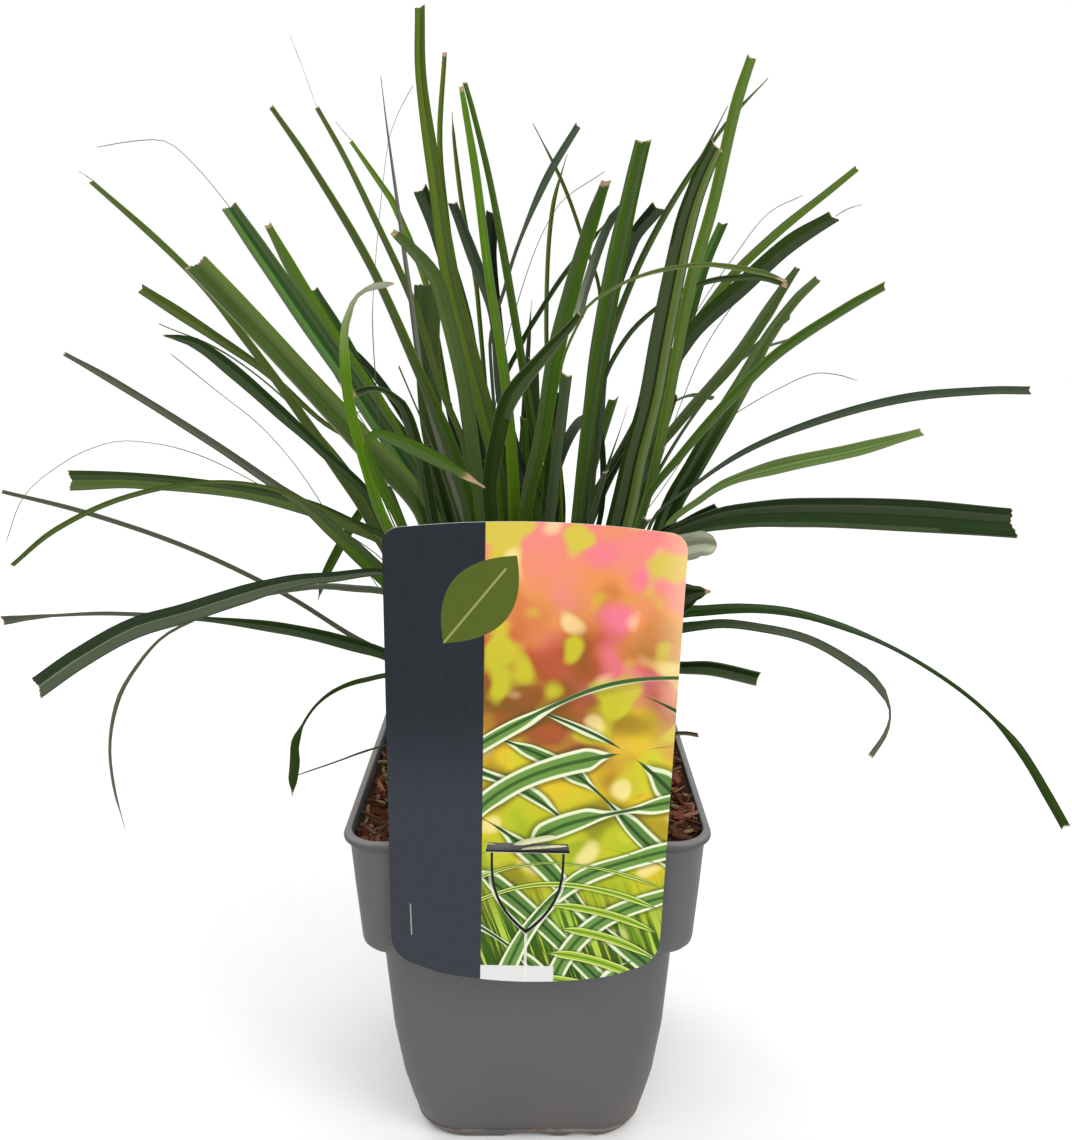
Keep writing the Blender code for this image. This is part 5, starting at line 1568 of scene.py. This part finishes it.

# %% [markdown]
# ## Greens of the leaves
# The tuft isn't one green: some leaves are olive, some a bright yellow-green, some nearly
# black with painted shade where they stand deep in the tuft, and some turn grey-blue or show
# their grey back. One letter for each row gives its green. Some broad leaves have lengthwise
# bands, given from one edge to the other, and some leaves change towards the root or the tip.
# The leaves grown by rule take mostly dark greens, as painted shade inside the crown. Only a few
# of the cut ends have dried to straw.

# %% Greens
# K, nearly black, is painted shade for leaves that stand deep in the tuft.
TONES = {
    "G": (62, 92, 22), "B": (84, 120, 24), "O": (72, 90, 30), "D": (28, 48, 12), "K": (16, 28, 16),
    "T": (58, 90, 40), "S": (58, 73, 66), "M": (70, 88, 50), "L": (84, 110, 38), "V": (38, 56, 18),
    "N": (38, 64, 28), "U": (82, 88, 84), "Y": (76, 80, 78), "P": (162, 167, 168),
    "H": (92, 95, 98), "W": (150, 116, 82), "X": (76, 54, 42),
}
BANDS = {
    "R": ((0.2, (36, 54, 10)), (0.5, (98, 116, 60)), (0.56, (46, 66, 22)), (0.86, (112, 130, 80)),
          (1, (30, 52, 10))),
    "E": ((-0.5, (38, 56, 30)), (-0.42, (16, 30, 10)), (0.1, (24, 46, 10)), (0.16, (72, 92, 50)),
          (0.85, (34, 52, 26)), (1, (20, 34, 14))),
    "A": ((-0.9, (140, 150, 118)), (0, (66, 90, 40)), (1, (84, 104, 48))),
    "C": ((-0.05, (76, 94, 52)), (0.05, (140, 150, 112)), (1, (50, 70, 32))),
    "J": ((-0.1, (70, 78, 74)), (0, (122, 130, 124)), (1, (52, 68, 52))),
    "Q": ((-0.3, (82, 116, 66)), (0.2, (42, 80, 34)), (0.85, (76, 106, 58)), (1, (116, 138, 102))),
    "F": ((0.35, (108, 134, 80)), (0.5, (66, 96, 46)), (1, (94, 120, 64))),
}
SHOWN_TONES = "GOBGOGOLMMDSKSOOGGKRLMMLVTOVMDGSFEDSUDAOONYCOYJYDGVQBTBDGVPDSVDV"
TIP_TONES = {
    1: ("O", 0.4), 6: ("O", 0.5), 30: ("M", 0.6), 36: ("V", 0.6), 37: ("U", 0.6), 43: ("Y", 0.6),
    49: ("Y", 0.6), 51: ("V", 0.6), 55: ("P", 0.8), 61: ("P", 0.85),
}
ROOT_TONES = {37: "N", 43: "G", 51: "Y", 36: "N"}
DRY_ENDS = (2, 3, 9, 17, 28, 53, 57)
ROUND_ENDS = (59,)
# Painted shade: the leaves grown by rule inside the crown take mostly dark greens, for the shade between the
# shown leaves.
SHADED_FILL_TONES = "VDVDKSDG"


def leaf_colour(tone, across):
    if tone in BANDS:
        return next(colour for limit, colour in BANDS[tone] if across <= limit)
    return TONES[tone]


def blend(first, second, share):
    return [a + (b - a) * share for a, b in zip(first, second)]


print("tones", len(SHOWN_TONES), "for", len(SHOWN_LEAVES), "rows")

# %% [markdown]
# ## Blade
# A blade is a flat grid laid along the leaf's line. It is pleated at its keel, and a broad one
# in an M with two soft ridges, which is what catches the light in long stripes. A trimmed end
# is cut straight through the folds, so it opens out as a shallow W. Solidify then gives it a
# thickness, and every vertex keeps where it lies on the blade for the finish.

# %% Blade
SHEET = 0.42 * MM
BLUE_SHARE = 0.85
RIDGE_ROUNDING = 0.16


def leaf_layers(bm):
    """The colour, place and kind that every vertex of a leaf carries for its finish."""
    layers = bm.verts.layers
    colour = layers.float_color.new("leaf_tint")
    return colour, layers.float_vector.new("leaf_place"), layers.float_vector.new("leaf_kind")


def pleat(edge, broad):
    """Height of the folded section at a distance from the keel, with its ridge rounded off."""
    if not broad:
        return math.sqrt(edge * edge + 0.01) - 0.1
    rise, fall = edge, RIDGE_TOP - RIDGE_FALL * edge
    near = max(RIDGE_ROUNDING - abs(rise - fall), 0) / RIDGE_ROUNDING
    return min(rise, fall) - near * near * RIDGE_ROUNDING / 4


def fine_blade(leaf, tone, rng, row=0, least=0.16 * MM, thickness=SHEET):
    """One blade with its end, its bands and ridges, as a mesh that carries its own colours."""
    widest = max(leaf.widths)
    broad = widest >= BROAD and leaf.spots
    narrow = widest < NARROW
    line, widths = leaf.fine_line, leaf.fine_widths
    along = len(line) - 1
    across = 4 if narrow else (16 if broad else 10)
    if tone in BANDS:
        across = 24
    frames = leaf_frames(leaf, line)
    length = sum((b - a).length for a, b in zip(line, line[1:]))
    slant = rng.uniform(-0.35, 0.35)
    tint_shift = rng.uniform(0.9, 1.1)
    shade = rng.uniform(-1, 1)
    dry = rng.uniform(0.15, 0.4) if leaf.end == CUT else rng.uniform(1, 4)
    if row in DRY_ENDS:
        dry = rng.uniform(1.6, 2.6) if leaf.end == CUT else 9
    bm = bmesh.new()
    bmesh.ops.create_grid(bm, x_segments=along, y_segments=across, size=1)
    tints, places, kinds = leaf_layers(bm)
    for vert in bm.verts:
        index = round((vert.co.x + 1) / 2 * along)
        share = index / along
        ahead, side, up = frames[index]
        x = vert.co.y
        edge = abs(x)
        half = max(widths[index] / 2, least)
        fold = fold_angle(share, half, narrow)
        crease = pleat(edge, broad) * math.sin(fold) * half
        if narrow:
            crease = 0.35 * half * edge
        ripple = 0.1 * MM * noise.noise(Vector((share * 9, x, shade * 50))) * min(4 * share, 1)
        ahead_shift = 0.0
        if leaf.end == CUT:
            near_tip = max(share - 0.9, 0) / 0.1
            teeth = TIP_NOTCH * (1 - edge) + 0.1 * abs(math.sin(edge * 9 + shade * 5))
            ahead_shift = (slant * x - teeth) * half * near_tip ** 6
            if row in ROUND_ENDS:
                ahead_shift = (math.sqrt(max(1 - x * x, 0)) - 1) * half * near_tip ** 2
        colour = leaf_colour(tone, x)
        if row in ROOT_TONES:
            colour = blend(TONES[ROOT_TONES[row]], colour, min(max(share - 0.4, 0) / 0.25, 1))
        if row in TIP_TONES:
            tip, start = TIP_TONES[row]
            colour = blend(colour, TONES[tip], min(max(share - start, 0) / 0.15, 1))
        red, green, blue = (part * tint_shift for part in colour)
        vert[tints] = screen(red, green, blue * BLUE_SHARE)
        vert[places] = (x, share, length * (1 - share) / MM)
        vert[kinds] = (0, shade, dry)
        place = line[index] + side * (x * half * math.cos(fold))
        vert.co = place + up * (crease + ripple) + ahead * ahead_shift
    bmesh.ops.solidify(bm, geom=bm.faces[:], thickness=thickness)
    bmesh.ops.recalc_face_normals(bm, faces=bm.faces[:])
    bm.normal_update()
    for vert in bm.verts:
        index = round(vert[places].y * along)
        facing_down = vert.normal.dot(frames[index][2]) < 0
        vert[kinds] = (1.0 if facing_down else 0.0, shade, dry)
    return bm


print("a blade is", round(SHEET / MM, 2), "mm thick")

# %% [markdown]
# ## Sheath and dried scales
# A shoot's leaves rise out of a short rolled sheath. Its rings are turned and fluted a little,
# so that it looks wrapped rather than turned on a lathe. A few dry brown scales, what is left
# of old leaves, stand round its foot.

# %% Sheath
SHEATH_GREEN = (74, 104, 34)
SHEATH_BROWN = (104, 84, 52)


def fluted_sheath(place, rng):
    bm = bmesh.new()
    height = SHEATH_DEPTH + SHEATH_HEIGHT
    middle = place + Vector((0, 0, SOIL_TOP - SHEATH_DEPTH + height / 2))
    add_cylinder(bm, (0, 0, 0), SHEATH_RADIUS, height, sides=24, top=SHEATH_TIP_RADIUS)
    upright = [edge for edge in bm.edges if abs(edge.verts[0].co.z - edge.verts[1].co.z) > height / 2]
    bmesh.ops.subdivide_edges(bm, edges=upright, cuts=9)
    tints, places, kinds = leaf_layers(bm)
    twist = rng.uniform(0, 6)
    for vert in bm.verts:
        share = vert.co.z / height + 0.5
        angle = math.atan2(vert.co.y, vert.co.x)
        flute = 1 - 0.1 * abs(math.sin(1.5 * angle + twist + 2 * share)) ** 0.5
        vert.co.x *= flute
        vert.co.y *= flute
        low = max(0.0, 1 - share * 2.2)
        vert[tints] = screen(*blend(SHEATH_GREEN, SHEATH_BROWN, low))
        vert[places] = (math.sin(1.5 * angle) * 0.8, 0.5, 50)
        vert[kinds] = (0, 0.2, 0.01)
    bm.transform(Matrix.Translation(middle))
    return bm


def free_leaf(places, width, end, roll, along):
    """A leaf told by places in the open instead of picture points, for small loose bits."""
    made = Leaf(places, [width * MM], end, roll)
    made.fine_line = smooth_line(places, along)
    made.fine_widths = [width * MM * width_share(i / along, end) for i in range(along + 1)]
    return made


def dry_scale(place, rng):
    """One short dry strip at the foot of a shoot, bent outwards."""
    angle = rng.uniform(0, 2 * math.pi)
    out = Vector((math.cos(angle), math.sin(angle), 0))
    length = rng.uniform(12, 30) * MM
    start = place + out * 3.2 * MM + Vector((0, 0, SOIL_TOP - 1 * MM))
    lean = rng.uniform(0.15, 0.6)
    middle = start + out * length * lean * 0.3 + Vector((0, 0, length * 0.6))
    end = start + out * length * lean + Vector((0, 0, length * 0.95))
    strip = free_leaf([start, middle, end], rng.uniform(1.6, 3.4), FINE, rng.uniform(-0.6, 0.6), 10)
    return fine_blade(strip, "W", rng, thickness=0.25 * MM)


print("a sheath stands", round(SHEATH_HEIGHT / MM), "mm out of the mix")

# %% [markdown]
# ## Shoots
# All leaves of a shoot, its sheath and its scales make one piece, which stands for that shoot's
# solid.

# %% Shoots
SCALES = 3
rng = random.Random(21)
for index, (kind, angle, place) in enumerate(SHOOTS):
    shoot = fluted_sheath(place, rng)
    for home, row, leaf in grown_leaves:
        if home != index:
            continue
        shown = row < len(SHOWN_LEAVES)
        tone = SHOWN_TONES[row] if shown else rng.choice(SHADED_FILL_TONES)
        append(shoot, fine_blade(leaf, tone, rng, row + 1 if shown else 0))
    for i in range(SCALES):
        append(shoot, dry_scale(place, rng))
    number = "%02d" % (index + 1)
    place_piece(shoot, "sedge_shoot_" + number, [leafy.material], ["shoot_" + number])

# %% [markdown]
# ## Hairs
# Many leaf points end in a hair too fine for a solid, and a few whole leaves are no wider than
# a thread. They arch out of the tuft in grey lines, each told by its places in millimetres.

# %% Hairs
HAIRS = (
    (50, 0.34, (-93, 452), (-99, 470), (-103, 481)),
    (95, 0.3, (-85, 444), (-89, 448), (-93, 453)),
    (40, 3, (-20, 240), (-45, 325), (-52, 374), (-57, 413), (-61, 445), (-63, 463)),
    (20, 0.4, (-30, 230), (-63, 310), (-66, 340), (-66, 370), (-58, 433), (-53, 446), (-47, 456)),
    (90, 0.42, (10, 240), (56, 320), (80, 365), (99, 391), (115, 410), (133, 419)),
    (80, 0.4, (20, 220), (57, 281), (66, 305), (84, 346), (104, 374)),
    (40, 0.36, (136, 406), (141, 409), (147, 411)),
    (80, 0.34, (-207, 425), (-210, 427), (-213, 429)),
    (30, 0.42, (-61, 252), (-106, 282), (-137, 299), (-156, 306), (-176, 309), (-189, 308), (-209, 300),
     (-232, 283), (-245, 260)),
    (100, 0.32, (-20, 240), (-73, 309), (-116, 377), (-135, 404), (-147, 419), (-159, 432), (-173, 443),
     (-190, 444), (-211, 442)),
    (60, 0.36, (-65, 234), (-89, 267), (-108, 294), (-126, 313), (-148, 329), (-170, 345)),
    (80, 0.34, (20, 235), (57, 276), (81, 306), (102, 319), (120, 328), (139, 335), (153, 334), (163, 331)),
    (110, 0.3, (-10, 250), (-16, 318), (-5, 370), (14, 414), (38, 432)),
)
HAIR_STRENGTH = 1.7
CROWN_TOP = 0.27


def hair(row, rng):
    """A thread along its places. One that starts in the crown comes forward or goes back evenly."""
    depth, width = row[0], row[1]
    points = [Vector((x, depth, z)) * MM for x, z in row[2:]]
    if points[0].z < CROWN_TOP:
        root = Vector((points[0].x * 0.3, 0.0, SOIL_TOP + 8 * MM))
        marks = path_marks([(point.x, point.z) for point in [root] + points])
        for point, mark in zip(points, marks[1:]):
            point.y = depth * MM * (mark / marks[-1]) ** DEPTH_POWER
        points = [root] + points
    thread = free_leaf(points, width * HAIR_STRENGTH, FINE, 0, 60)
    return fine_blade(thread, "H", rng, least=0.2 * MM, thickness=0.26 * MM)


rng = random.Random(5)
threads = bmesh.new()
for row in HAIRS:
    append(threads, hair(row, rng))
place_piece(threads, "leaf_hairs", [leafy.material])

# %% [markdown]
# ## Dry blade and twigs
# These loose bits use the same blade as the leaves. The dry blade's places come from where the
# front view shows it, and the twigs' are given outright in millimetres.

# %% Dry blade and twigs
DRY_BLADE = ((404, 741, -58), (367, 751, -60), (330, 764, -64), (303, 773, -67), (288, 778, -70))
TWIGS = (
    (((66, 24, 158), (71, 26, 164.5), (76, 27, 165), (83, 27, 164)), 2),
    (((-62, -58, 157), (-56, -50, 160), (-48, -46, 161)), 1.2),
    (((58, 20, 158), (50, 30, 162), (38, 36, 163)), 1.6),
)
bits = bmesh.new()
hanging = free_leaf([place_seen(x, y, depth * MM) for x, y, depth in DRY_BLADE], 2.0, FINE, 0.4, 40)
append(bits, fine_blade(hanging, "S", rng, thickness=0.3 * MM))
for places, width in TWIGS:
    twig = free_leaf([Vector(place) * MM for place in places], width, CUT, 0.5, 14)
    append(bits, fine_blade(twig, "X", rng, thickness=0.8 * MM))
place_piece(bits, "dry_bits", [leafy.material])
